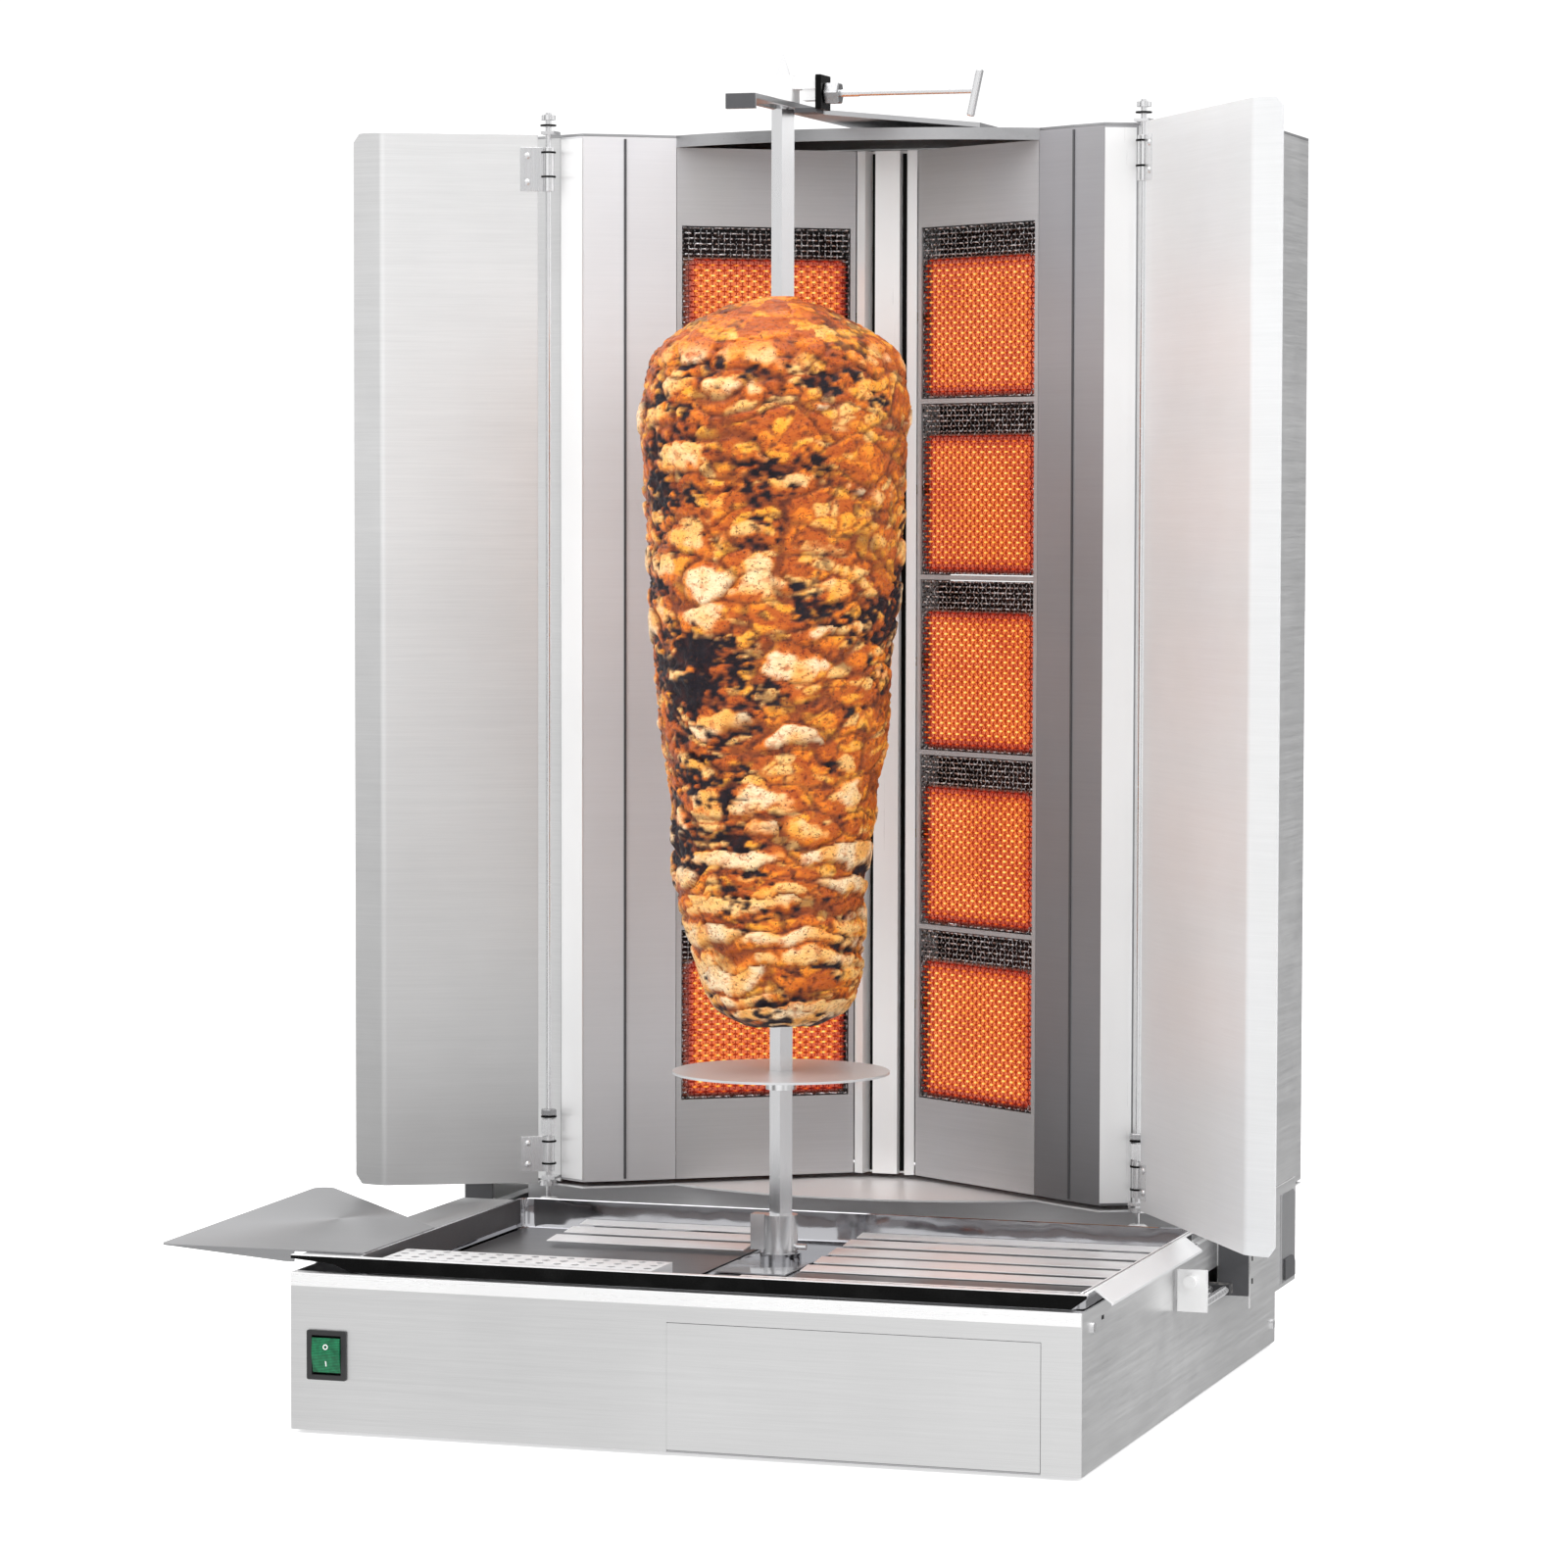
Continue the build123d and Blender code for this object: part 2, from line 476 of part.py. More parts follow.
def burner_columns():
    length = hypot(OUTER_EDGE[0] - INNER_EDGE[0], OUTER_EDGE[1] - INNER_EDGE[1])
    boxes = []
    for side in ("left", "right"):
        sign = 1 if side == "right" else -1
        middle = along(INNER_EDGE, OUTER_EDGE, length / 2)
        turn = sign * degrees(atan2(OUTER_EDGE[1] - INNER_EDGE[1], OUTER_EDGE[0] - INNER_EDGE[0]))
        place = (sign * middle[0], middle[1], 0, turn)

        frame = Pos(0, SHEET / 2, (COLUMN_TOP + COLUMN_BOTTOM) / 2) \
            * Box(length - 1.0, SHEET, COLUMN_TOP - COLUMN_BOTTOM)
        tiles = []
        screens = []
        plenums = []
        for i in range(BURNERS):
            top = BURNER_TOP - i * BURNER_PITCH
            bottom = top - BURNER_PITCH
            frame -= Pos(0, 0, (top + bottom) / 2) * Box(BURNER_WIDTH + 4, 10, BURNER_PITCH - 4)
            tile_z = bottom + 4 + TILE_HEIGHT / 2
            tile = Pos(0, 6 + TILE_THICK / 2, tile_z) * Box(BURNER_WIDTH, TILE_THICK, TILE_HEIGHT)
            tiles.append(fillet(tile.edges().filter_by(Axis.Y), 8))
            screens.append(Pos(0, 1 + SCREEN_THICK / 2, (top + bottom) / 2)
                           * Box(BURNER_WIDTH + 2, SCREEN_THICK, BURNER_PITCH - 6))
            box_y = 6 + TILE_THICK
            middle_z = (top + bottom) / 2
            plenum = Pos(0, box_y + PLENUM_DEPTH / 2, middle_z) \
                * Box(BURNER_WIDTH, PLENUM_DEPTH, BURNER_PITCH - 8)
            plenum -= Pos(0, box_y + PLENUM_DEPTH / 2 - 2, middle_z) \
                * Box(BURNER_WIDTH - 4, PLENUM_DEPTH, BURNER_PITCH - 12)
            plenums.append(plenum)
        parts[f"burner_frame_{side}"] = to_plane(*place, frame)
        parts[f"burner_tiles_{side}"] = Compound([to_plane(*place, t) for t in tiles])
        parts[f"burner_screens_{side}"] = Compound([to_plane(*place, t) for t in screens])
        boxes += [to_plane(*place, solid) for solid in plenums]

    parts["burner_plenums"] = Compound(boxes)

    x, back = INNER_EDGE
    strip = [(-x + 0.6, back), (-19, back - 3), (-16, back + 9), (-11, back + 9), (-11, back + 1),
             (11, back + 1), (11, back + 9), (16, back + 9), (19, back - 3), (x - 0.6, back)]
    parts["centre_strip"] = folded_sheet(strip, 1.2, COLUMN_BOTTOM, COLUMN_TOP)


# ---- wings and their hinges ----------------------------------------------------------------------
def wings():
    lugs = []
    for side in ("left", "right"):
        sign = 1 if side == "right" else -1
        angle = radians(WING_ANGLE[side])
        bend = angle + radians(WING_FLANGE_BEND)
        aim = (sin(angle), -cos(angle))
        start = (HINGE_X + aim[0] * WING_START, HINGE_BACK + aim[1] * WING_START)
        end = (HINGE_X + aim[0] * WING_LENGTH[side], HINGE_BACK + aim[1] * WING_LENGTH[side])
        tip = (end[0] + sin(bend) * WING_FLANGE, end[1] - cos(bend) * WING_FLANGE)
        plan = mirrored([start, end, tip], side)
        sheet = folded_sheet(plan, sign * SHEET, TOWER_BOTTOM, TOWER_TOP)
        axis_x = sign * HINGE_X
        for z0, z1 in ((992, 1029), (158, 188)):
            tube = rod(axis_x, HINGE_BACK, z0, z1, 5.0)
            leaf = folded_sheet(mirrored([(HINGE_X, HINGE_BACK), start, along(start, end, 14)], side),
                                sign * SHEET * 1.2, z0, z1)
            sheet += tube + leaf
        sheet -= rod(axis_x, HINGE_BACK, 100, 1100, HINGE_ROD_R + RUNNING)
        parts[f"wing_{side}"] = sheet

        pin = rod(axis_x, HINGE_BACK, 136, 1058, HINGE_ROD_R)
        pin += rod(axis_x, HINGE_BACK, 1052, 1056, 6.0)
        pin += rod(axis_x, HINGE_BACK, 146, 150, 8.0)
        pin += hexagon(axis_x, HINGE_BACK, 190, 203, 12.0)
        parts[f"hinge_rod_{side}"] = pin

        lug_points = [HINGE_EDGE, (HINGE_EDGE[0], HINGE_BACK - 5), (HINGE_X + 5, HINGE_BACK - 5),
                      along(HINGE_EDGE, SHOULDER, 16)]
        for z0, z1 in ((TOWER_TOP, TOWER_TOP + 2.5), (TOWER_BOTTOM + 3.5, TOWER_BOTTOM + 6)):
            lug = plan_prism(mirrored(lug_points, side), z0, z1)
            lugs.append(lug - rod(axis_x, HINGE_BACK, z0 - 1, z1 + 1, HINGE_ROD_R))
    parts["hinge_lugs"] = Compound(lugs)


# ---- gas train -----------------------------------------------------------------------------------
def gas_train():
    """Brass manifold of pipe lengths between valve bodies, with an inlet and five knobs."""
    back = 617.0
    half = VALVE_SIDE / 2
    heights = [knob_height(i) for i in range(BURNERS)]
    fittings = [block(KNOB_X - half, KNOB_X + half, back - half, back + half, z - half, z + half)
                for z in [GAS_INLET_Z] + heights]
    levels = sorted([GAS_INLET_Z] + heights)
    fittings += [rod(KNOB_X, back, low + half, high - half, 9.0) for low, high in zip(levels[:-1], levels[1:])]

    seat = TOWER_REAR + 9
    fittings.append(rod_y(KNOB_X, back + half, TOWER_REAR + 3, GAS_INLET_Z, 9.0))
    nut = extrude(RegularPolygon(13.0, 6, major_radius=False), seat - TOWER_REAR - 3)
    fittings.append(Pos(KNOB_X, FRONT_Y + seat, GAS_INLET_Z) * Rot(90, 0, 0) * nut)
    fittings.append(rod_y(KNOB_X, seat, seat + GAS_INLET_LENGTH, GAS_INLET_Z, GAS_INLET_R))

    for i, z in enumerate(heights):
        fittings.append(rod_x(KNOB_X + half, 120, back, z, 4.0))
        fittings.append(rod_y(KNOB_X, back + half, TOWER_REAR + 12, z, 4.0))
        knob = rod_y(KNOB_X, TOWER_REAR + SHEET + 1.0, TOWER_REAR + 20, z, KNOB_R)
        knob -= rod_y(KNOB_X, TOWER_REAR, TOWER_REAR + 13, z, 4.08)
        knob += block(KNOB_X - 3.5, KNOB_X + 3.5, TOWER_REAR + 20, TOWER_REAR + 27, z - 17, z + 17)
        parts[f"gas_knob_{i + 1}"] = knob
    parts["gas_manifold"] = Compound(fittings)


def main():
    base_housing()
    housing_screws()
    power_switch()
    grease_drawer()
    drip_pan()
    side_shelf()
    spit_drive()
    spit()
    top_bearing()
    tower_shell()
    burner_columns()
    wings()
    gas_train()
    os.makedirs("parts", exist_ok=True)
    for name, shape in parts.items():
        export_step(shape, f"parts/{name}.step")
    print(len(parts), "sub-parts written")


main()
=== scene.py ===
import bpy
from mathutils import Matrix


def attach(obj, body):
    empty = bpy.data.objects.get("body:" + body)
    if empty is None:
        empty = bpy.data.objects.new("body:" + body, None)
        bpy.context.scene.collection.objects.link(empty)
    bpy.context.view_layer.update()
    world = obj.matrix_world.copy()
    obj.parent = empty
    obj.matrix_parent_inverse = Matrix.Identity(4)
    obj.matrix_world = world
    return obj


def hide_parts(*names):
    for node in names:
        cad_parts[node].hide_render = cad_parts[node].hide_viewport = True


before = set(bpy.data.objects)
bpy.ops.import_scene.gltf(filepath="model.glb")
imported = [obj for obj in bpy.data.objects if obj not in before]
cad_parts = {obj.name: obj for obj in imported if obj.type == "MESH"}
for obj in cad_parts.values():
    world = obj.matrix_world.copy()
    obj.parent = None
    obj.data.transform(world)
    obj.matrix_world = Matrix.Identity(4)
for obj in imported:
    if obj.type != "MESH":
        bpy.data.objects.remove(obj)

"""Looks of an upright gas rotisserie grill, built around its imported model.

Every length is in metres, in the model's own frame: X to the right, Y to the back, Z up, with the
origin on the floor under the middle of the base. Plan places are written as (x, back), where back
is the distance behind the front panel.
"""
import logging
import math
import random
from dataclasses import dataclass, field
from enum import Enum
from typing import Callable, Sequence

import bmesh
import bpy
import numpy as np
from mathutils import Matrix, Vector, noise

LOG = logging.getLogger("rotisserie")
FRONT_Y = -0.330
SEED = 41
Colour = tuple[float, float, float]
Point = tuple[float, float, float]
Pair = tuple[float, float]
Node = bpy.types.Node
Object = bpy.types.Object
Socket = bpy.types.NodeSocket
BLACK, WHITE = (0.0, 0.0, 0.0), (1.0, 1.0, 1.0)
MERGE = 1e-6              # points closer than this are one
EDGE = 0.0003             # usual rounding of a plate's edges
MIX_A, MIX_B, MIX_OUT = 6, 7, 2   # colour sockets of Blender's mix node


class Lay(Enum):
    """Which way the brush lines of a sheet run."""

    UPRIGHT = (22.0, 22.0, 1500.0)     # level lines on standing sheets
    ALONG_X = (22.0, 1500.0, 1500.0)   # lines along X on flat sheets
    ALONG_Z = (1500.0, 1500.0, 12.0)   # lines up and down bars and rods


class Side(Enum):
    """Left or right half of the grill, with the sign of its X."""

    LEFT = -1
    RIGHT = 1

    @property
    def word(self) -> str:
        """Name of the side as it is used in node names."""
        return self.name.lower()


# ---- shader building -----------------------------------------------------------------------------
class Graph:
    """Short-hand for building one shader node tree."""

    def __init__(self, tree: bpy.types.NodeTree) -> None:
        """Wrap a tree.

        Args:
            tree: Material, world or group tree to add nodes to.
        """
        self.tree = tree

    def node(self, kind: str, **values: object) -> Node:
        """Add a node and set its properties or input defaults.

        Args:
            kind: Node type without the "ShaderNode" prefix.
            **values: Property values, or input values under the input's name with _ for spaces.

        Returns:
            The new node.
        """
        made = self.tree.nodes.new("ShaderNode" + kind)
        for key, value in values.items():
            if hasattr(made, key) and key not in made.inputs:
                setattr(made, key, value)
            else:
                self.wire(made, **{key: value})
        return made

    def feed(self, target: Socket, value: object) -> None:
        """Link a socket to an input, or set the input's own value.

        Args:
            target: Input to feed.
            value: Output socket, number, vector or colour.
        """
        if isinstance(value, bpy.types.NodeSocket):
            self.tree.links.new(value, target)
        elif target.type == "RGBA" and len(value) == 3:
            target.default_value = (*value, 1.0)
        else:
            target.default_value = value

    def wire(self, node: Node, **values: object) -> None:
        """Feed a node's named inputs.

        Args:
            node: Node to feed.
            **values: Sockets or values under the input's name with _ for spaces.
        """
        for key, value in values.items():
            self.feed(node.inputs[key.replace("_", " ")], value)

    def line_up(self, node: Node, *values: object) -> Socket:
        """Feed a node's first inputs in order.

        Args:
            node: Node to feed.
            *values: Sockets or values.

        Returns:
            The node's first output.
        """
        for target, value in zip(node.inputs, values):
            self.feed(target, value)
        return node.outputs[0]

    def math(self, operation: str, a: object, b: object) -> Socket:
        """Add a math node.

        Args:
            operation: Blender's name of the operation.
            a: First value.
            b: Second value.

        Returns:
            The result.
        """
        return self.line_up(self.node("Math", operation=operation), a, b)

    def times(self, a: object, b: object) -> Socket:
        """Product of two values."""
        return self.math("MULTIPLY", a, b)

    def plus(self, a: object, b: object) -> Socket:
        """Sum of two values."""
        return self.math("ADD", a, b)

    def scaled(self, vector: object, scale: object) -> Socket:
        """Multiply a vector by another, axis by axis.

        Args:
            vector: Vector socket.
            scale: Vector socket or three numbers.

        Returns:
            The product.
        """
        return self.line_up(self.node("VectorMath", operation="MULTIPLY"), vector, scale)

    def height_of(self, vector: Socket) -> Socket:
        """Z of a vector."""
        split = self.node("SeparateXYZ")
        self.feed(split.inputs[0], vector)
        return split.outputs[2]

    def noise(self, vector: object, scale: float, detail: float = 2.0, rough: float = 0.5,
              distortion: float = 0.0) -> Socket:
        """Add a noise texture.

        Args:
            vector: Where to read the noise.
            scale: Features per unit.
            detail: Octaves.
            rough: Strength of the finer octaves.
            distortion: Warp of the pattern.

        Returns:
            The noise value, about 0.5 on average.
        """
        made = self.node("TexNoise", Vector=vector, Scale=scale, Detail=detail, Roughness=rough,
                         Distortion=distortion)
        return made.outputs["Fac"]

    def span(self, value: object, low: float, high: float, out_low: float = 0.0,
             out_high: float = 1.0) -> Socket:
        """Map a range of values onto another, clamped.

        Args:
            value: Input value.
            low: Value that maps to out_low.
            high: Value that maps to out_high.
            out_low: Result at low.
            out_high: Result at high.

        Returns:
            The mapped value.
        """
        return self.line_up(self.node("MapRange", clamp=True), value, low, high, out_low, out_high)

    def mix(self, share: object, a: object, b: object, blend: str = "MIX") -> Socket:
        """Mix two colours.

        Args:
            share: 0 gives a, 1 gives b.
            a: First colour.
            b: Second colour.
            blend: Blend mode.

        Returns:
            The mixed colour.
        """
        made = self.node("Mix", data_type="RGBA", blend_type=blend)
        for index, value in ((0, share), (MIX_A, a), (MIX_B, b)):
            self.feed(made.inputs[index], value)
        return made.outputs[MIX_OUT]

    def tinted(self, colour: object, tint: object) -> Socket:
        """Colour multiplied by a tint."""
        return self.mix(1.0, colour, tint, "MULTIPLY")

    def ramp(self, value: object, stops: Sequence[tuple[float, Colour]]) -> Socket:
        """Colour ramp.

        Args:
            value: Position on the ramp.
            stops: Positions and their colours.

        Returns:
            The colour.
        """
        made = self.node("ValToRGB")
        elements = made.color_ramp.elements
        while len(elements) < len(stops):
            elements.new(0.5)
        for element, (place, colour) in zip(elements, stops):
            element.position = place
            element.color = (*colour, 1.0)
        return self.line_up(made, value)

    def place(self) -> Socket:
        """Object coordinates, which stay with a piece as it moves."""
        return self.node("TexCoord").outputs["Object"]

    def stored(self, name: str, output: str = "Fac") -> Socket:
        """Value that the mesh stores at its points."""
        return self.node("Attribute", attribute_name=name).outputs[output]

    def bump(self, height: object, strength: float, distance: float, under: Socket | None = None) -> Socket:
        """Turn a height into a normal.

        Args:
            height: Height value.
            strength: How much of the bump shows.
            distance: Depth in metres for a height of 1.
            under: Normal to build on.

        Returns:
            The normal.
        """
        made = self.node("Bump", Strength=strength, Distance=distance, Height=height)
        if under is not None:
            self.wire(made, Normal=under)
        return made.outputs[0]


class Effects:
    """Shader node groups that several finishes share; each is built once."""

    made: dict[str, bpy.types.NodeTree] = {}

    @classmethod
    def group(cls, name: str, inputs: Sequence[tuple[str, str, object]],
              outputs: Sequence[tuple[str, str]],
              fill: Callable[[Graph, Node, Node], None]) -> bpy.types.NodeTree:
        """Return the named group, building it on first use.

        Args:
            name: Group name.
            inputs: Name, socket type and default of each input.
            outputs: Name and socket type of each output.
            fill: Builds the inside from the graph, the group input and the group output.

        Returns:
            The group's tree.
        """
        if name not in cls.made:
            tree = bpy.data.node_groups.new(name, "ShaderNodeTree")
            for label, kind, default in inputs:
                socket = tree.interface.new_socket(label, in_out="INPUT", socket_type=kind)
                if default is not None:
                    socket.default_value = default
            for label, kind in outputs:
                tree.interface.new_socket(label, in_out="OUTPUT", socket_type=kind)
            ends = tree.nodes.new("NodeGroupInput"), tree.nodes.new("NodeGroupOutput")
            fill(Graph(tree), *ends)
            cls.made[name] = tree
        return cls.made[name]

    @classmethod
    def place(cls, graph: Graph, tree: bpy.types.NodeTree, **values: object) -> Node:
        """Put a group into a material.

        Args:
            graph: Material's graph.
            tree: Group to place.
            **values: Input values under the input's name with _ for spaces.

        Returns:
            The group node.
        """
        made = graph.tree.nodes.new("ShaderNodeGroup")
        made.node_tree = tree
        graph.wire(made, **values)
        return made

    @classmethod
    def brush(cls) -> bpy.types.NodeTree:
        """Brush lines and the slow clouding of a rolled sheet.

        Returns:
            Group with inputs Vector and Stretch, outputs Lines, Scratches and Cloud.
        """
        def fill(graph: Graph, start: Node, end: Node) -> None:
            """Build the inside of the group."""
            along = graph.scaled(start.outputs["Vector"], start.outputs["Stretch"])
            fine = graph.noise(along, 1.0, 3.0, 0.7)
            coarse = graph.noise(along, 0.22, 2.0, 0.6)
            graph.wire(end, Lines=graph.plus(graph.times(fine, 0.6), graph.times(coarse, 0.4)),
                       Scratches=graph.span(graph.noise(along, 0.35, 1.0, 0.5), 0.68, 0.78),
                       Cloud=graph.noise(start.outputs["Vector"], 5.0, 3.0, 0.55))

        return cls.group(
            "Brush lines",
            [("Vector", "NodeSocketVector", None), ("Stretch", "NodeSocketVector", Lay.UPRIGHT.value)],
            [(name, "NodeSocketFloat") for name in ("Lines", "Scratches", "Cloud")], fill)

    @classmethod
    def smudge(cls) -> bpy.types.NodeTree:
        """Fingerprints, wiped grease and fine dust as one mask.

        Returns:
            Group with inputs Vector, Scale and Amount, output Mask.
        """
        def fill(graph: Graph, start: Node, end: Node) -> None:
            """Build the inside of the group."""
            sized = graph.node("VectorMath", operation="SCALE", Vector=start.outputs["Vector"],
                               Scale=start.outputs["Scale"])
            patches = graph.span(graph.noise(sized.outputs[0], 1.0, 4.0, 0.62, 0.4), 0.48, 0.72)
            specks = graph.span(graph.noise(sized.outputs[0], 42.0, 1.0), 0.7, 0.76)
            both = graph.math("MAXIMUM", patches, graph.times(specks, 0.6))
            graph.wire(end, Mask=graph.times(both, start.outputs["Amount"]))

        return cls.group(
            "Smudges",
            [("Vector", "NodeSocketVector", None), ("Scale", "NodeSocketFloat", 9.0),
             ("Amount", "NodeSocketFloat", 1.0)],
            [("Mask", "NodeSocketFloat")], fill)

    @classmethod
    def heat_tint(cls) -> bpy.types.NodeTree:
        """Straw and blue colours that heat leaves on stainless steel.

        Returns:
            Group with inputs Vector, Colour and Amount, output Colour.
        """
        def fill(graph: Graph, start: Node, end: Node) -> None:
            """Build the inside of the group."""
            drift = graph.noise(graph.scaled(start.outputs["Vector"], (6.0, 6.0, 3.0)), 1.0, 3.0, 0.6)
            tint = graph.ramp(drift, [(0.30, WHITE), (0.48, (1.0, 0.93, 0.80)),
                                      (0.60, (0.94, 0.86, 0.90)), (0.72, (0.86, 0.92, 1.0))])
            plain = start.outputs["Colour"]
            graph.wire(end, Colour=graph.mix(start.outputs["Amount"], plain, graph.tinted(plain, tint)))

        return cls.group(
            "Heat tint",
            [("Vector", "NodeSocketVector", None), ("Colour", "NodeSocketColor", (0.8, 0.8, 0.8, 1.0)),
             ("Amount", "NodeSocketFloat", 0.3)],
            [("Colour", "NodeSocketColor")], fill)


# ---- finishes ------------------------------------------------------------------------------------
@dataclass(frozen=True)
class Finish:
    """A procedural surface finish."""

    name: str
    colour: Colour = (0.8, 0.8, 0.8)

    def toned(self, factor: float) -> Colour:
        """Finish's colour made lighter or darker."""
        return tuple(c * factor for c in self.colour)

    def material(self) -> bpy.types.Material:
        """Return the finish's material, building it on first use."""
        known = bpy.data.materials.get(self.name)
        if known is not None:
            return known
        made = bpy.data.materials.new(self.name)
        made.use_nodes = True
        made.node_tree.nodes.clear()
        graph = Graph(made.node_tree)
        surface = graph.node("BsdfPrincipled")
        out = graph.node("OutputMaterial")
        graph.tree.links.new(surface.outputs[0], out.inputs[0])
        self.build(graph, surface)
        return made

    def build(self, graph: Graph, surface: Node) -> None:
        """Wire up the surface; each finish has its own.

        Args:
            graph: Graph of the material.
            surface: Its Principled BSDF.
        """
        raise NotImplementedError


@dataclass(frozen=True)
class BrushedSteel(Finish):
    """Stainless steel with brush lines, slow clouding, light smudges and, where low_shade is below 1, painted
    shade towards the bottom.
    """

    lay: Lay = Lay.UPRIGHT
    rough: float = 0.30
    grain: float = 0.35
    tint: float = 0.0
    smudges: float = 0.35
    metal: float = 1.0
    # Share of the colour left at the bottom by the painted shade; 1 paints none.
    low_shade: float = 1.0

    def build(self, graph: Graph, surface: Node) -> None:
        """Wire up brush lines, clouding, smudges, painted shade towards the bottom and heat tint."""
        where = graph.place()
        brush = Effects.place(graph, Effects.brush(), Vector=where, Stretch=self.lay.value)
        smudge = Effects.place(graph, Effects.smudge(), Vector=where, Scale=9.0, Amount=self.smudges)
        lines, cloud = brush.outputs["Lines"], brush.outputs["Cloud"]
        shade = graph.times(graph.span(lines, 0.3, 0.7, 1.0 - self.grain * 0.35, 1.0),
                            graph.span(cloud, 0.3, 0.7, 0.95, 1.03))
        # Painted shade: the colour darkens towards the bottom of the piece, by its height from 0.75 m down to
        # 0.15 m.
        if self.low_shade < 1.0:
            film = graph.span(graph.height_of(where), 0.15, 0.75, self.low_shade, 1.0)
            shade = graph.times(shade, film)
        tone = graph.tinted(self.colour, graph.mix(shade, BLACK, WHITE))
        if self.tint > 0:
            heat = Effects.place(graph, Effects.heat_tint(), Vector=where, Colour=tone, Amount=self.tint)
            tone = heat.outputs["Colour"]
        rough = graph.span(lines, 0.25, 0.75, self.rough - 0.05, self.rough + 0.08)
        height = graph.plus(lines, graph.times(brush.outputs["Scratches"], 0.8))
        graph.wire(surface, Base_Color=tone, Metallic=self.metal, Anisotropic=0.55,
                   Roughness=graph.plus(rough, graph.times(smudge.outputs["Mask"], 0.10)),
                   Normal=graph.bump(height, self.grain, 0.00004))


@dataclass(frozen=True)
class PolishedSteel(Finish):
    """Mirror-polished steel with faint dents, wiping marks and a film of fat."""

    rough: float = 0.06
    wave: float = 0.4

    def build(self, graph: Graph, surface: Node) -> None:
        """Wire up waviness, hairlines and smudges."""
        where = graph.place()
        smudge = Effects.place(graph, Effects.smudge(), Vector=where, Scale=14.0, Amount=1.0)
        mask = smudge.outputs["Mask"]
        slow = graph.noise(where, 16.0, 2.0, 0.5)
        hair = graph.noise(graph.scaled(where, (900.0, 40.0, 900.0)), 1.0, 2.0, 0.7)
        graph.wire(surface, Base_Color=graph.mix(graph.times(mask, 0.35), self.colour, self.toned(0.8)),
                   Roughness=graph.plus(graph.times(mask, 0.10), self.rough), Metallic=1.0,
                   Normal=graph.bump(hair, 0.12, 0.00004, graph.bump(slow, self.wave, 0.0035)))


@dataclass(frozen=True)
class DarkSteel(Finish):
    """Heat-darkened or blackened steel with dull scale and worn spots."""

    rough: float = 0.5

    def build(self, graph: Graph, surface: Node) -> None:
        """Wire up scale patches and worn metal."""
        where = graph.place()
        scale = graph.noise(where, 120.0, 4.0, 0.65)
        worn = graph.span(graph.noise(where, 60.0, 3.0, 0.7), 0.60, 0.72)
        base = graph.mix(graph.span(scale, 0.35, 0.65), self.colour, self.toned(2.2))
        graph.wire(surface, Base_Color=graph.mix(worn, base, (0.34, 0.32, 0.30)),
                   Roughness=graph.span(scale, 0.3, 0.7, self.rough - 0.1, self.rough + 0.2),
                   Metallic=graph.span(worn, 0.0, 1.0, 0.6, 1.0), Normal=graph.bump(scale, 0.4, 0.0002))


@dataclass(frozen=True)
class HotWire(Finish):
    """Woven wire that glows in front of a hot plaque, brightest on the crests of the weave."""

    glow: float = 1.0

    def build(self, graph: Graph, surface: Node) -> None:
        """Wire up cold metal with painted glints that turns into glowing metal with the glow and crest
        attributes.
        """
        heat, crest, where = graph.stored("glow_level"), graph.stored("crest"), graph.place()
        glint_fleck = graph.noise(where, 420.0, 2.0, 0.7)
        drift = graph.noise(where, 22.0, 3.0, 0.5)
        # Painted glints and shade: the cold wire's colour jumps between near black and near white with the
        # glint flecks.
        metal = graph.mix(graph.span(glint_fleck, 0.42, 0.60), (0.012, 0.012, 0.013), (0.90, 0.90, 0.92))
        level = graph.times(heat, graph.span(drift, 0.35, 0.65, 0.86, 1.04))
        level = graph.times(level, graph.span(crest, 0.25, 0.90, 0.34, 1.0))
        level = graph.times(level, graph.span(glint_fleck, 0.3, 0.7, 0.90, 1.06))
        colour = graph.ramp(level, [(0.0, BLACK), (0.20, (0.16, 0.006, 0.005)),
                                    (0.42, (0.52, 0.046, 0.012)), (0.66, (0.96, 0.29, 0.030)),
                                    (0.82, (1.0, 0.54, 0.090)), (0.95, (1.0, 0.80, 0.26))])
        graph.wire(surface, Base_Color=graph.mix(graph.span(heat, 0.0, 0.3), metal, (0.10, 0.02, 0.01)),
                   Roughness=graph.span(glint_fleck, 0.3, 0.7, 0.20, 0.45), Metallic=1.0,
                   Emission_Color=colour, Emission_Strength=self.glow, Normal=graph.bump(glint_fleck, 0.3, 0.0001))


@dataclass(frozen=True)
class HotPlaque(Finish):
    """Perforated ceramic plaque, orange with heat and red towards its edges."""

    glow: float = 1.0

    def build(self, graph: Graph, surface: Node) -> None:
        """Wire up the perforation and the glow that follows the heat attribute."""
        heat, where = graph.stored("glow_level"), graph.place()
        pores = graph.node("TexVoronoi", Vector=where, Scale=520.0, feature="F1")
        hole = graph.span(pores.outputs["Distance"], 0.25, 0.40)
        drift = graph.noise(where, 24.0, 3.0, 0.5)
        level = graph.times(heat, graph.span(drift, 0.35, 0.65, 0.78, 1.10))
        colour = graph.ramp(level, [(0.0, (0.02, 0.002, 0.001)), (0.35, (0.26, 0.010, 0.007)),
                                    (0.75, (0.46, 0.036, 0.010)), (1.0, (0.62, 0.105, 0.012))])
        graph.wire(surface, Emission_Color=graph.mix(hole, graph.tinted(colour, (0.55, 0.45, 0.4)), colour),
                   Emission_Strength=self.glow, Roughness=0.9, Normal=graph.bump(hole, 0.5, 0.0004),
                   Base_Color=graph.mix(hole, (0.12, 0.05, 0.03), (0.42, 0.30, 0.22)))


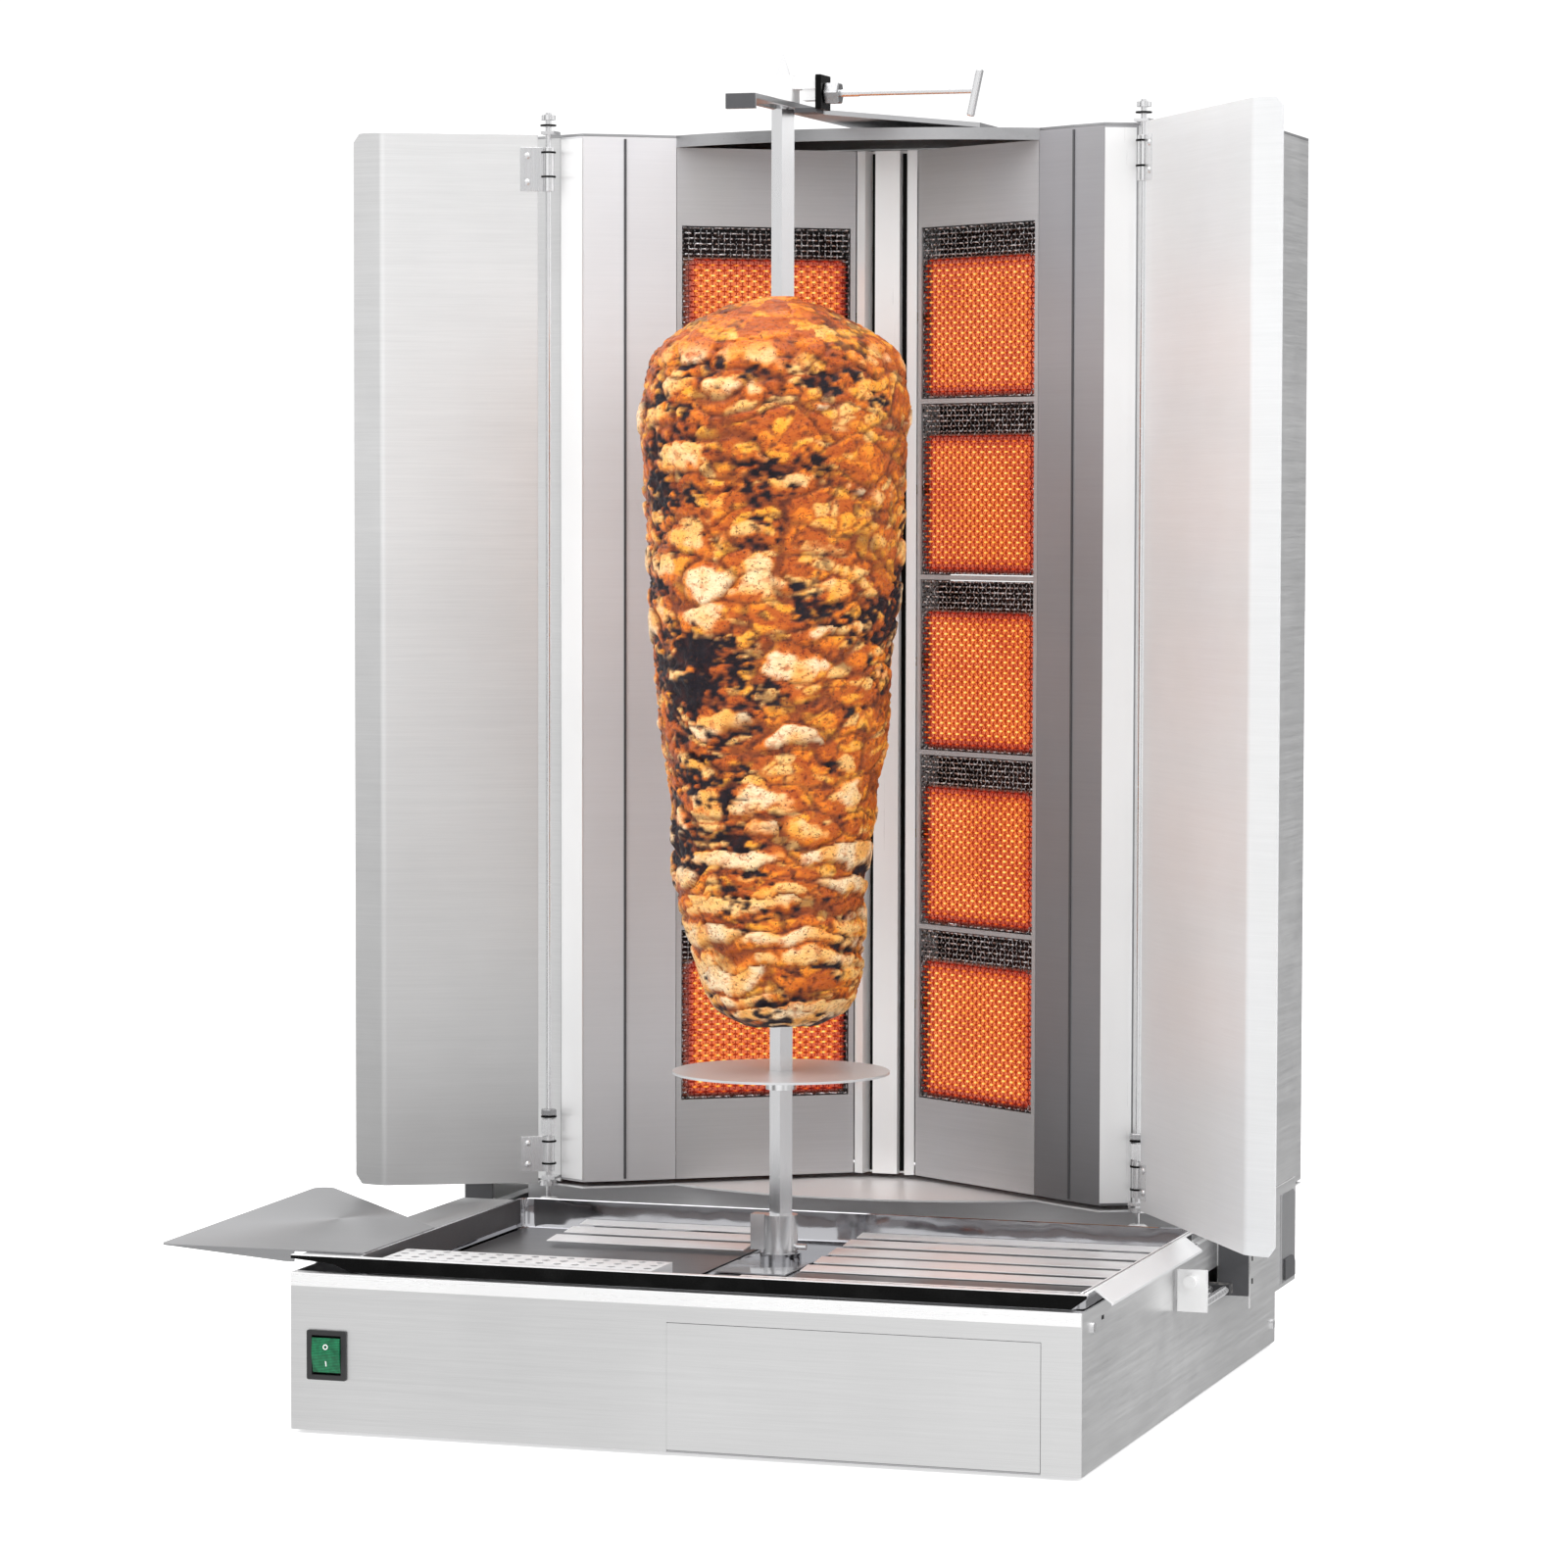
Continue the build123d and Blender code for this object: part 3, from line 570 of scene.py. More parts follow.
@dataclass(frozen=True)
class RoastMeat(Finish):
    """Roasted meat: painted layers from the mesh, with fibres, pepper and fat on top."""

    def build(self, graph: Graph, surface: Node) -> None:
        """Wire up painted colour, fibres, pepper flecks and glossy fat."""
        paint, char, where = graph.stored("roast", "Color"), graph.stored("char"), graph.place()
        fibre = graph.noise(graph.scaled(where, (170.0, 170.0, 620.0)), 1.0, 4.0, 0.65, 0.6)
        blotch = graph.noise(graph.scaled(where, (110.0, 110.0, 190.0)), 1.0, 4.0, 0.62, 0.3)
        pepper = graph.span(graph.noise(where, 380.0, 3.0, 0.65), 0.60, 0.66)
        crust = graph.noise(graph.scaled(where, (230.0, 230.0, 330.0)), 1.0, 4.0, 0.66, 0.4)
        tone = paint
        for mask, low, high, most, tint in ((fibre, 0.44, 0.68, 0.50, (0.88, 0.54, 0.28)),
                                            (blotch, 0.56, 0.66, 0.50, (0.60, 0.24, 0.10)),
                                            (crust, 0.55, 0.64, 0.70, (0.42, 0.17, 0.08))):
            tone = graph.mix(graph.span(mask, low, high, 0.0, most), tone, graph.tinted(tone, tint))
        tone = graph.mix(graph.times(pepper, 0.75), tone, (0.045, 0.012, 0.007))
        gloss = graph.span(graph.noise(where, 70.0, 3.0, 0.6), 0.35, 0.65, 0.26, 0.50)
        rise = graph.plus(graph.times(fibre, 0.6), graph.noise(where, 240.0, 4.0, 0.65))
        graph.wire(surface, Base_Color=tone, Roughness=graph.plus(gloss, graph.times(char, 0.15)),
                   Specular_IOR_Level=0.3, Subsurface_Weight=0.08, Subsurface_Radius=(0.004, 0.002, 0.001),
                   Subsurface_Scale=0.5, Coat_Weight=0.08, Coat_Roughness=0.22,
                   Normal=graph.bump(rise, 0.7, 0.0016))


@dataclass(frozen=True)
class Moulded(Finish):
    """Moulded plastic or rubber with a fine eroded grain."""

    rough: float = 0.45
    grain_depth: float = 0.00006
    shine: float = 0.5

    def build(self, graph: Graph, surface: Node) -> None:
        """Wire up grain, handling shine and dust."""
        where = graph.place()
        smudge = Effects.place(graph, Effects.smudge(), Vector=where, Scale=30.0, Amount=0.6)
        grain = graph.noise(where, 1400.0, 3.0, 0.6)
        dusty = tuple(min(1.0, c * 1.6 + 0.02) for c in self.colour)
        graph.wire(surface, Specular_IOR_Level=self.shine,
                   Base_Color=graph.mix(graph.times(smudge.outputs["Mask"], 0.25), self.colour, dusty),
                   Roughness=graph.span(grain, 0.3, 0.7, self.rough - 0.06, self.rough + 0.1),
                   Normal=graph.bump(grain, 0.5, self.grain_depth))


@dataclass(frozen=True)
class GreenLens(Finish):
    """Translucent green rocker with a moulded pattern behind it and a dim lamp."""

    def build(self, graph: Graph, surface: Node) -> None:
        """Wire up ribs seen through the lens and a weak glow."""
        where = graph.place()
        ribs = graph.node("TexWave", Vector=where, Scale=260.0, Distortion=0.4, bands_direction="Z")
        depth = graph.noise(where, 180.0, 3.0, 0.6)
        bright = graph.span(ribs.outputs["Fac"], 0.2, 0.8)
        tone = graph.mix(bright, (0.004, 0.075, 0.030), (0.012, 0.20, 0.085))
        tone = graph.mix(graph.span(depth, 0.4, 0.7, 0.0, 0.7), tone, (0.002, 0.035, 0.016))
        graph.wire(surface, Base_Color=tone, Roughness=0.20, Specular_IOR_Level=0.35, Coat_Weight=0.15,
                   Emission_Color=tone, Emission_Strength=0.06)


@dataclass(frozen=True)
class CastMetal(Finish):
    """Sand-cast or drawn metal with a pebbled skin."""

    rough: float = 0.42
    pebble_depth: float = 0.0002

    def build(self, graph: Graph, surface: Node) -> None:
        """Wire up the pebbled skin and tarnish."""
        where = graph.place()
        pebble = graph.noise(where, 520.0, 3.0, 0.6)
        tarnish = graph.span(graph.noise(where, 18.0, 4.0, 0.6), 0.42, 0.66)
        graph.wire(surface, Base_Color=graph.mix(tarnish, self.colour, self.toned(0.62)), Metallic=1.0,
                   Roughness=graph.span(pebble, 0.3, 0.7, self.rough - 0.08, self.rough + 0.12),
                   Normal=graph.bump(pebble, 0.5, self.pebble_depth))


@dataclass(frozen=True)
class StudioFloor(Finish):
    """Pale matt paper under the grill, lit from below for the eye so that it runs to white."""

    lift: float = 0.42

    def build(self, graph: Graph, surface: Node) -> None:
        """Wire up faint paper fibre and the lift."""
        fibre = graph.noise(graph.place(), 300.0, 3.0, 0.6)
        seen = graph.node("LightPath").outputs["Is Camera Ray"]
        graph.wire(surface, Base_Color=graph.mix(fibre, self.toned(0.985), self.colour), Roughness=0.8,
                   Specular_IOR_Level=0.0, Emission_Color=WHITE,
                   Emission_Strength=graph.times(seen, self.lift))


@dataclass(frozen=True)
class Finishes:
    """Every finish of the grill."""

    housing: Finish = BrushedSteel("Brushed steel, level lines", (0.90, 0.90, 0.90), rough=0.32, grain=0.30)
    flat: Finish = BrushedSteel("Brushed steel, flat sheets", (0.56, 0.56, 0.57), Lay.ALONG_X, grain=0.30)
    shelf: Finish = BrushedSteel("Brushed steel, shelf", (0.46, 0.46, 0.47), Lay.ALONG_X, 0.36, 0.25)
    wing: Finish = BrushedSteel("Brushed steel, left wing", (0.92, 0.92, 0.92), rough=0.38, grain=0.26,
                                metal=0.85, low_shade=0.66)
    # Painted light: a copy of the wing steel with far less metal, which paints the right wing white and lit
    # instead of mirroring what is in front of it.
    lit_wing: Finish = BrushedSteel("Brushed steel, right wing", (0.76, 0.77, 0.78), rough=0.40,
                                     grain=0.22, tint=0.05, metal=0.26, low_shade=0.96)
    reflector: Finish = BrushedSteel("Brushed steel, left reflector", (0.72, 0.72, 0.74), rough=0.44,
                                     grain=0.16, tint=0.05, metal=0.25, low_shade=0.80)
    # Painted shade: a darker copy of the reflector steel, which makes the right reflector the shaded side.
    shaded: Finish = BrushedSteel("Brushed steel, right reflector", (0.38, 0.38, 0.40), rough=0.40,
                                  grain=0.24, tint=0.08, metal=0.35, low_shade=0.52)
    blank: Finish = BrushedSteel("Brushed steel, burner frames", (0.56, 0.56, 0.57), rough=0.42,
                                 tint=0.10, metal=0.55)
    # Painted shade: dark steel for the sheets under the strainers, which stand for the shade seen through
    # their holes.
    tray: Finish = BrushedSteel("Brushed steel, fat trays", (0.22, 0.22, 0.23), Lay.ALONG_X, grain=0.30,
                                metal=0.8)
    disc: Finish = BrushedSteel("Brushed steel, spit plate", (0.72, 0.72, 0.73), Lay.ALONG_X, 0.34, 0.14,
                                0.10, metal=0.5)
    bar: Finish = BrushedSteel("Ground steel bar", (0.90, 0.90, 0.91), Lay.ALONG_Z, 0.22, 0.08, smudges=0.3)
    strip: Finish = BrushedSteel("Bright strip", (0.93, 0.93, 0.93), Lay.ALONG_Z, grain=0.015, smudges=0.15,
                                 metal=0.4)
    band: Finish = BrushedSteel("Bright folded edge", (0.94, 0.94, 0.94), rough=0.28, grain=0.12,
                                smudges=0.2, metal=0.6)
    level: Finish = BrushedSteel("Bright level sheet", (0.90, 0.90, 0.91), Lay.ALONG_X, 0.34, 0.14,
                                 smudges=0.3, metal=0.5)
    hardware: Finish = BrushedSteel("Bright hardware", (0.84, 0.84, 0.85), Lay.ALONG_Z, 0.24, 0.05,
                                    smudges=0.2, metal=0.95)
    turned: Finish = CastMetal("Turned steel", (0.50, 0.50, 0.51), 0.24, 0.00002)
    grey: Finish = Moulded("Grey enamel", (0.075, 0.075, 0.08), 0.42, shine=0.3)
    # Black for dark parts, and for plates that paint shade and dark reflections.
    enamel: Finish = Moulded("Black enamel", (0.003, 0.003, 0.003), 0.25, 0.00001, 0.06)
    mirror: Finish = PolishedSteel("Mirror-polished pan", (0.46, 0.46, 0.48))
    dark: Finish = DarkSteel("Blackened steel", (0.030, 0.030, 0.032))
    wire: Finish = HotWire("Woven heat-resisting wire")
    plaque: Finish = HotPlaque("Hot ceramic plaque")
    roast: Finish = RoastMeat("Roasted meat")
    black: Finish = Moulded("Black moulded plastic", (0.018, 0.018, 0.019))
    rubber: Finish = Moulded("Black rubber", (0.03, 0.03, 0.03), 0.75, 0.0002)
    green: Finish = GreenLens("Green lens")
    white: Finish = Moulded("White paint", (0.85, 0.86, 0.84), 0.4)
    cast: Finish = CastMetal("Cast aluminium case", (0.56, 0.56, 0.57))
    brass: Finish = CastMetal("Brass", (0.70, 0.52, 0.22), 0.30)
    floor: Finish = StudioFloor("Studio floor", (0.93, 0.93, 0.93))


FINISH = Finishes()


# ---- mesh building -------------------------------------------------------------------------------
def plan(x: float, back: float, z: float) -> Point:
    """Point of the model from a plan place and a height."""
    return (x, FRONT_Y + back, z)


def link_mesh(name: str, mesh: bpy.types.Mesh, finish: Finish) -> Object:
    """Put a mesh with its finish into the scene."""
    mesh.materials.append(finish.material())
    made = bpy.data.objects.new(name, mesh)
    bpy.context.collection.objects.link(made)
    return made


def new_object(name: str, verts: Sequence[Sequence[float]], faces: Sequence[Sequence[int]],
               finish: Finish, smooth: bool = False) -> Object:
    """Make a mesh object from points and faces.

    Args:
        name: Object name.
        verts: Points.
        faces: Point numbers of each face.
        finish: Surface finish.
        smooth: Shade smooth.

    Returns:
        The object, linked to the scene.
    """
    mesh = bpy.data.meshes.new(name)
    mesh.from_pydata([tuple(v) for v in verts], [], [tuple(f) for f in faces])
    mesh.update()
    if smooth:
        mesh.shade_smooth()
    return link_mesh(name, mesh, finish)


def from_bmesh(name: str, work: bmesh.types.BMesh, finish: Finish) -> Object:
    """Make an object from a bmesh, with its faces turned outwards.

    Args:
        name: Object name.
        work: Mesh under construction; it is freed.
        finish: Surface finish.

    Returns:
        The object, linked to the scene.
    """
    bmesh.ops.recalc_face_normals(work, faces=work.faces)
    mesh = bpy.data.meshes.new(name)
    work.to_mesh(mesh)
    work.free()
    return link_mesh(name, mesh, finish)


def bridge(work: bmesh.types.BMesh, near: Sequence[bmesh.types.BMVert],
           far: Sequence[bmesh.types.BMVert]) -> None:
    """Join two closed rings of equally many points with faces."""
    for k in range(len(near)):
        n = (k + 1) % len(near)
        work.faces.new((near[k], near[n], far[n], far[k]))


def round_points(radius: float, steps: int) -> list[Pair]:
    """Points round a circle about the origin."""
    turns = [2 * math.pi * k / steps for k in range(steps)]
    return [(radius * math.cos(turn), radius * math.sin(turn)) for turn in turns]


def box(u0: float, v0: float, u1: float, v1: float) -> list[Pair]:
    """Rectangle outline from its low and high corner."""
    return [(u0, v0), (u1, v0), (u1, v1), (u0, v1)]


def apply_modifiers(piece: Object) -> None:
    """Replace a piece's mesh by its evaluated mesh.

    Args:
        piece: Object with modifiers.
    """
    graph = bpy.context.evaluated_depsgraph_get()
    solid = bpy.data.meshes.new_from_object(piece.evaluated_get(graph))
    piece.modifiers.clear()
    piece.data = solid


def chamfer(piece: Object, width: float, angle: float) -> None:
    """Round a piece's sharp edges in two steps.

    Args:
        piece: Object to soften.
        width: Width of the rounding.
        angle: Edges sharper than this are rounded, in degrees.
    """
    tool = piece.modifiers.new("edges", "BEVEL")
    tool.width = width
    tool.segments = 2
    tool.limit_method = "ANGLE"
    tool.angle_limit = math.radians(angle)
    tool.harden_normals = True
    piece.data.shade_smooth()
    apply_modifiers(piece)


def thicken(piece: Object, thickness: float, offset: float) -> None:
    """Give a surface a thickness.

    Args:
        piece: Object to thicken.
        thickness: How thick it becomes.
        offset: -1 grows it behind the surface, 0 to both sides.
    """
    tool = piece.modifiers.new("thickness", "SOLIDIFY")
    tool.thickness = thickness
    tool.offset = offset
    apply_modifiers(piece)


def add_tube(verts: list[Vector], faces: list[tuple[int, ...]], line: Sequence[Vector], radius: float,
             sides: int) -> None:
    """Add a round tube with closed ends to a point and face list.

    Args:
        verts: Points so far.
        faces: Faces so far.
        line: Centre line.
        radius: Tube radius.
        sides: Sides of the tube.
    """
    start = len(verts)
    count = len(line)
    for i, point in enumerate(line):
        ahead = (line[min(i + 1, count - 1)] - line[max(i - 1, 0)]).normalized()
        steep = abs(ahead.z) > 0.9
        across = Vector((1, 0, 0)) - ahead * ahead.x if steep else Vector((0, 0, 1)).cross(ahead)
        across.normalize()
        up = ahead.cross(across)
        for k in range(sides):
            turn = 2 * math.pi * (k + 0.5) / sides
            verts.append(point + across * (radius * math.cos(turn)) + up * (radius * math.sin(turn)))
    for i in range(count - 1):
        for k in range(sides):
            a = start + i * sides + k
            b = start + i * sides + (k + 1) % sides
            faces.append((a, b, b + sides, a + sides))
    faces.append(tuple(start + k for k in range(sides))[::-1])
    faces.append(tuple(start + (count - 1) * sides + k for k in range(sides)))


class Along(Enum):
    """Direction in which an outline is pushed out to a plate."""

    X = "x"   # outline in (back, z)
    Y = "y"   # outline in (x, z)
    Z = "z"   # outline in (x, back)

    def point(self, u: float, v: float, w: float) -> Point:
        """Point of the model from a place in the outline and a distance along the push."""
        if self is Along.X:
            return plan(w, u, v)
        return plan(u, w, v) if self is Along.Y else plan(u, v, w)


def plate(name: str, outline: Sequence[Pair], along: Along, start: float, depth: float, finish: Finish,
          edge: float = EDGE) -> Object:
    """Push an outline out to a plate with softened edges.

    Args:
        name: Object name.
        outline: Corners of the outline.
        along: Direction of the push.
        start: Where the push starts.
        depth: Length of the push.
        finish: Surface finish.
        edge: Width of the edge rounding.

    Returns:
        The plate.
    """
    work = bmesh.new()
    rings = [[work.verts.new(along.point(u, v, w)) for u, v in outline] for w in (start, start + depth)]
    work.faces.new(rings[0])
    work.faces.new(rings[1][::-1])
    bridge(work, *rings)
    made = from_bmesh(name, work, finish)
    if edge:
        chamfer(made, edge, 30.0)
    return made


def strip_outline(a: Pair, b: Pair, lift: float, sheet: float) -> list[Pair]:
    """Plan outline of a thin strip that stands in front of the line from a to b.

    Args:
        a: One end, as (x, back).
        b: Other end.
        lift: Distance in front of the line.
        sheet: Thickness.

    Returns:
        Four corners.
    """
    run = Vector((b[0] - a[0], b[1] - a[1])).normalized()
    out = Vector((run.y, -run.x)) if run.x > 0 else Vector((-run.y, run.x))
    near, far = out * lift, out * (lift + sheet)
    return [(a[0] + near.x, a[1] + near.y), (b[0] + near.x, b[1] + near.y),
            (b[0] + far.x, b[1] + far.y), (a[0] + far.x, a[1] + far.y)]


def turned(name: str, profile: Sequence[Pair], place: Pair, finish: Finish, steps: int = 40,
           sides: int = 0) -> Object:
    """Turn a closed profile about an upright axis, as on a lathe.

    Args:
        name: Object name.
        profile: Closed outline as (radius, height), all radii above zero.
        place: Axis, as (x, back).
        finish: Surface finish.
        steps: Steps round the axis.
        sides: Flats cut on radii beyond the profile's first, such as 6 for a nut; 0 for none.

    Returns:
        The turned piece.
    """
    verts, faces = [], []
    bore = profile[0][0]
    count = len(profile)
    for k in range(steps):
        turn = 2 * math.pi * k / steps
        flat = 1.0
        if sides:
            half = math.pi / sides
            flat = math.cos(half) / math.cos((turn % (2 * math.pi / sides)) - half)
        for radius, height in profile:
            reach = radius * (flat if radius > bore + MERGE else 1.0)
            x, back = place[0] + reach * math.cos(turn), place[1] + reach * math.sin(turn)
            verts.append(plan(x, back, height))
    for k in range(steps):
        n = (k + 1) % steps
        for i in range(count):
            j = (i + 1) % count
            faces.append((k * count + i, n * count + i, n * count + j, k * count + j))
    work = bmesh.new()
    points = [work.verts.new(v) for v in verts]
    for face in faces:
        work.faces.new([points[i] for i in face])
    made = from_bmesh(name, work, finish)
    chamfer(made, 0.00025, 40.0)
    return made


def settle(piece: Object, body: str, slot: str, *stands_for: str) -> None:
    """Put a piece on its body and hide the nodes that it stands for.

    Args:
        piece: The piece.
        body: Body it rides on.
        slot: Not used.
        *stands_for: CAD nodes that it replaces.
    """
    for node in stands_for:
        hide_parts(node)
    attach(piece, body)
    LOG.info("%s: %d faces", piece.name, len(piece.data.polygons))


def root_plate(slot: str, name: str, outline: Sequence[Pair], along: Along, start: float, depth: float,
               finish: Finish, edge: float = EDGE) -> None:
    """Make a plate that stands still; the arguments are a slot and then those of plate."""
    settle(plate(name, outline, along, start, depth, finish, edge), "root", slot)


def dress(finish: Finish, *nodes: str) -> None:
    """Give CAD nodes a finish.

    Args:
        finish: Surface finish.
        *nodes: Node names.
    """
    for name in nodes:
        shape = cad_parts[name]
        shape.data.materials.clear()
        shape.data.materials.append(finish.material())


# ---- sub-assemblies ------------------------------------------------------------------------------
@dataclass
class BurnerColumn:
    """One column of five infrared burners: hot plaques behind woven wire screens."""

    side: Side
    inner: Pair = (0.0275, 0.5455)
    outer: Pair = (0.1593, 0.4544)
    count: int = 5
    pitch: float = 0.150
    top: float = 0.966
    width: float = 0.146
    tile_height: float = 0.118
    tile_lift: float = 0.004
    tile_corner: float = 0.010
    tile_face: float = 0.0065
    tile_thick: float = 0.0115
    screen_face: float = 0.0024
    wire: float = 0.00098
    warp_wire: float = 0.00046
    mesh_x: float = 0.00525
    mesh_z: float = 0.0044
    heat_edge: float = 0.012
    shade_edge: float = 0.009
    shade_share: float = 0.25
    heat_power: float = 0.6
    rim: float = 0.004
    rim_drop: float = 0.0012
    screen_margin: float = 0.0008
    screen_gap: float = 0.0035
    warp_crest: float = 0.10
    weft_crest: float = 0.5
    screen_sides: int = 4
    plaque_steps: int = 24

    def matrix(self) -> Matrix:
        """Place of the column: local X runs outwards, local Y away from the spit."""
        sign = self.side.value
        run = (self.outer[0] - self.inner[0], self.outer[1] - self.inner[1])
        middle = ((self.inner[0] + self.outer[0]) / 2, (self.inner[1] + self.outer[1]) / 2)
        turn = sign * math.atan2(run[1], run[0])
        return Matrix.Translation(plan(sign * middle[0], middle[1], 0.0)) @ Matrix.Rotation(turn, 4, "Z")

    def heat(self, x: float, z: float, index: int) -> float:
        """How hot the burner is at a place on its face.

        Args:
            x: Distance from the column's middle.
            z: Height.
            index: Burner number from the top.

        Returns:
            0 where it is cold, 1 where it is hottest.
        """
        bottom = self.top - (index + 1) * self.pitch + self.tile_lift
        dx = abs(x) - self.width / 2 + self.tile_corner
        dz = abs(z - bottom - self.tile_height / 2) - self.tile_height / 2 + self.tile_corner
        outside = math.hypot(max(dx, 0.0), max(dz, 0.0)) + min(max(dx, dz), 0.0) - self.tile_corner
        share = min(max(-outside / self.heat_edge, 0.0), 1.0)
        if self.side is Side.LEFT and x < self.shade_edge - self.width / 2:
            share *= self.shade_share
        return share ** self.heat_power

    def screens(self) -> Object:
        """Weave the five wire screens.

        Returns:
            One object with every wire, with its heat stored at each point.
        """
        verts: list[Vector] = []
        faces: list[tuple[int, ...]] = []
        crests: list[float] = []
        half = self.width / 2 + self.screen_margin
        sides = self.screen_sides
        for index in range(self.count):
            high = self.top - index * self.pitch - self.screen_gap
            low = high - self.pitch + 2 * self.screen_gap
            columns = int(2 * half / self.mesh_x)
            rows = int((high - low) / self.mesh_z)
            for c in range(columns + 1):
                x = -half + 2 * half * c / columns
                bends = [math.cos(math.pi * (r / 2 + c)) for r in range(rows * 2 + 1)]
                line = [Vector((x, self.screen_face + bend * self.wire, low + (high - low) * r / (rows * 2)))
                        for r, bend in enumerate(bends)]
                add_tube(verts, faces, line, self.warp_wire, sides)
                crests += [self.warp_crest * (1 - bend) for bend in bends for _ in range(sides)]
            for r in range(rows + 1):
                z = low + (high - low) * r / rows
                bends = [-math.cos(math.pi * (c / 2 + r)) for c in range(columns * 2 + 1)]
                line = [Vector((-half + 2 * half * c / (columns * 2), self.screen_face + bend * self.wire, z))
                        for c, bend in enumerate(bends)]
                add_tube(verts, faces, line, self.wire, sides)
                crests += [self.weft_crest * (1 - bend) for bend in bends for _ in range(sides)]
        made = new_object(f"burner_screen_wires_{self.side.word}", verts, faces, FINISH.wire, True)
        self.store_heat(made)
        made.data.attributes.new("crest", "FLOAT", "POINT").data.foreach_set("value", crests)
        made.data.transform(self.matrix())
        return made

    def plaques(self) -> Object:
        """Build the five ceramic plaques with rounded corners.

        Returns:
            One object with five plaques, with its heat stored at each point.
        """
        verts: list[Vector] = []
        faces: list[tuple[int, ...]] = []
        steps = self.plaque_steps
        for index in range(self.count):
            bottom = self.top - (index + 1) * self.pitch + self.tile_lift
            start = len(verts)
            for r in range(steps + 1):
                for c in range(steps + 1):
                    x = self.width * (c / steps - 0.5)
                    z = bottom + self.tile_height * r / steps
                    drop = self.corner_drop(x, z - bottom - self.tile_height / 2)
                    verts.append(Vector((x, self.tile_face + drop, z)))
            for r in range(steps):
                for c in range(steps):
                    a = start + r * (steps + 1) + c
                    faces.append((a, a + 1, a + steps + 2, a + steps + 1))
        made = new_object(f"burner_plaques_{self.side.word}", verts, faces, FINISH.plaque, True)
        self.store_heat(made)
        thicken(made, self.tile_thick - 0.001, -1.0)
        made.data.transform(self.matrix())
        return made

    def corner_drop(self, x: float, z: float) -> float:
        """How far the plaque's face falls back at its rim."""
        dx = abs(x) - self.width / 2 + self.rim
        dz = abs(z) - self.tile_height / 2 + self.rim
        return self.rim_drop * (min(1.0, max(0.0, dx / self.rim, dz / self.rim))) ** 2

    def store_heat(self, piece: Object) -> None:
        """Store the heat at each point as an attribute.

        Args:
            piece: Screens or plaques, in the column's own space.
        """
        layer = piece.data.attributes.new("glow_level", "FLOAT", "POINT")
        values = []
        for vertex in piece.data.vertices:
            index = int(min(max((self.top - vertex.co.z) / self.pitch, 0.0), self.count - 0.01))
            values.append(self.heat(vertex.co.x, vertex.co.z, index))
        layer.data.foreach_set("value", values)

    def build(self) -> None:
        """Make the column's pieces and put them in place of the plain ones."""
        word = self.side.word
        settle(self.screens(), "root", "screen_wire", f"burner_screens_{word}")
        settle(self.plaques(), "root", "glowing_ceramic", f"burner_tiles_{word}")


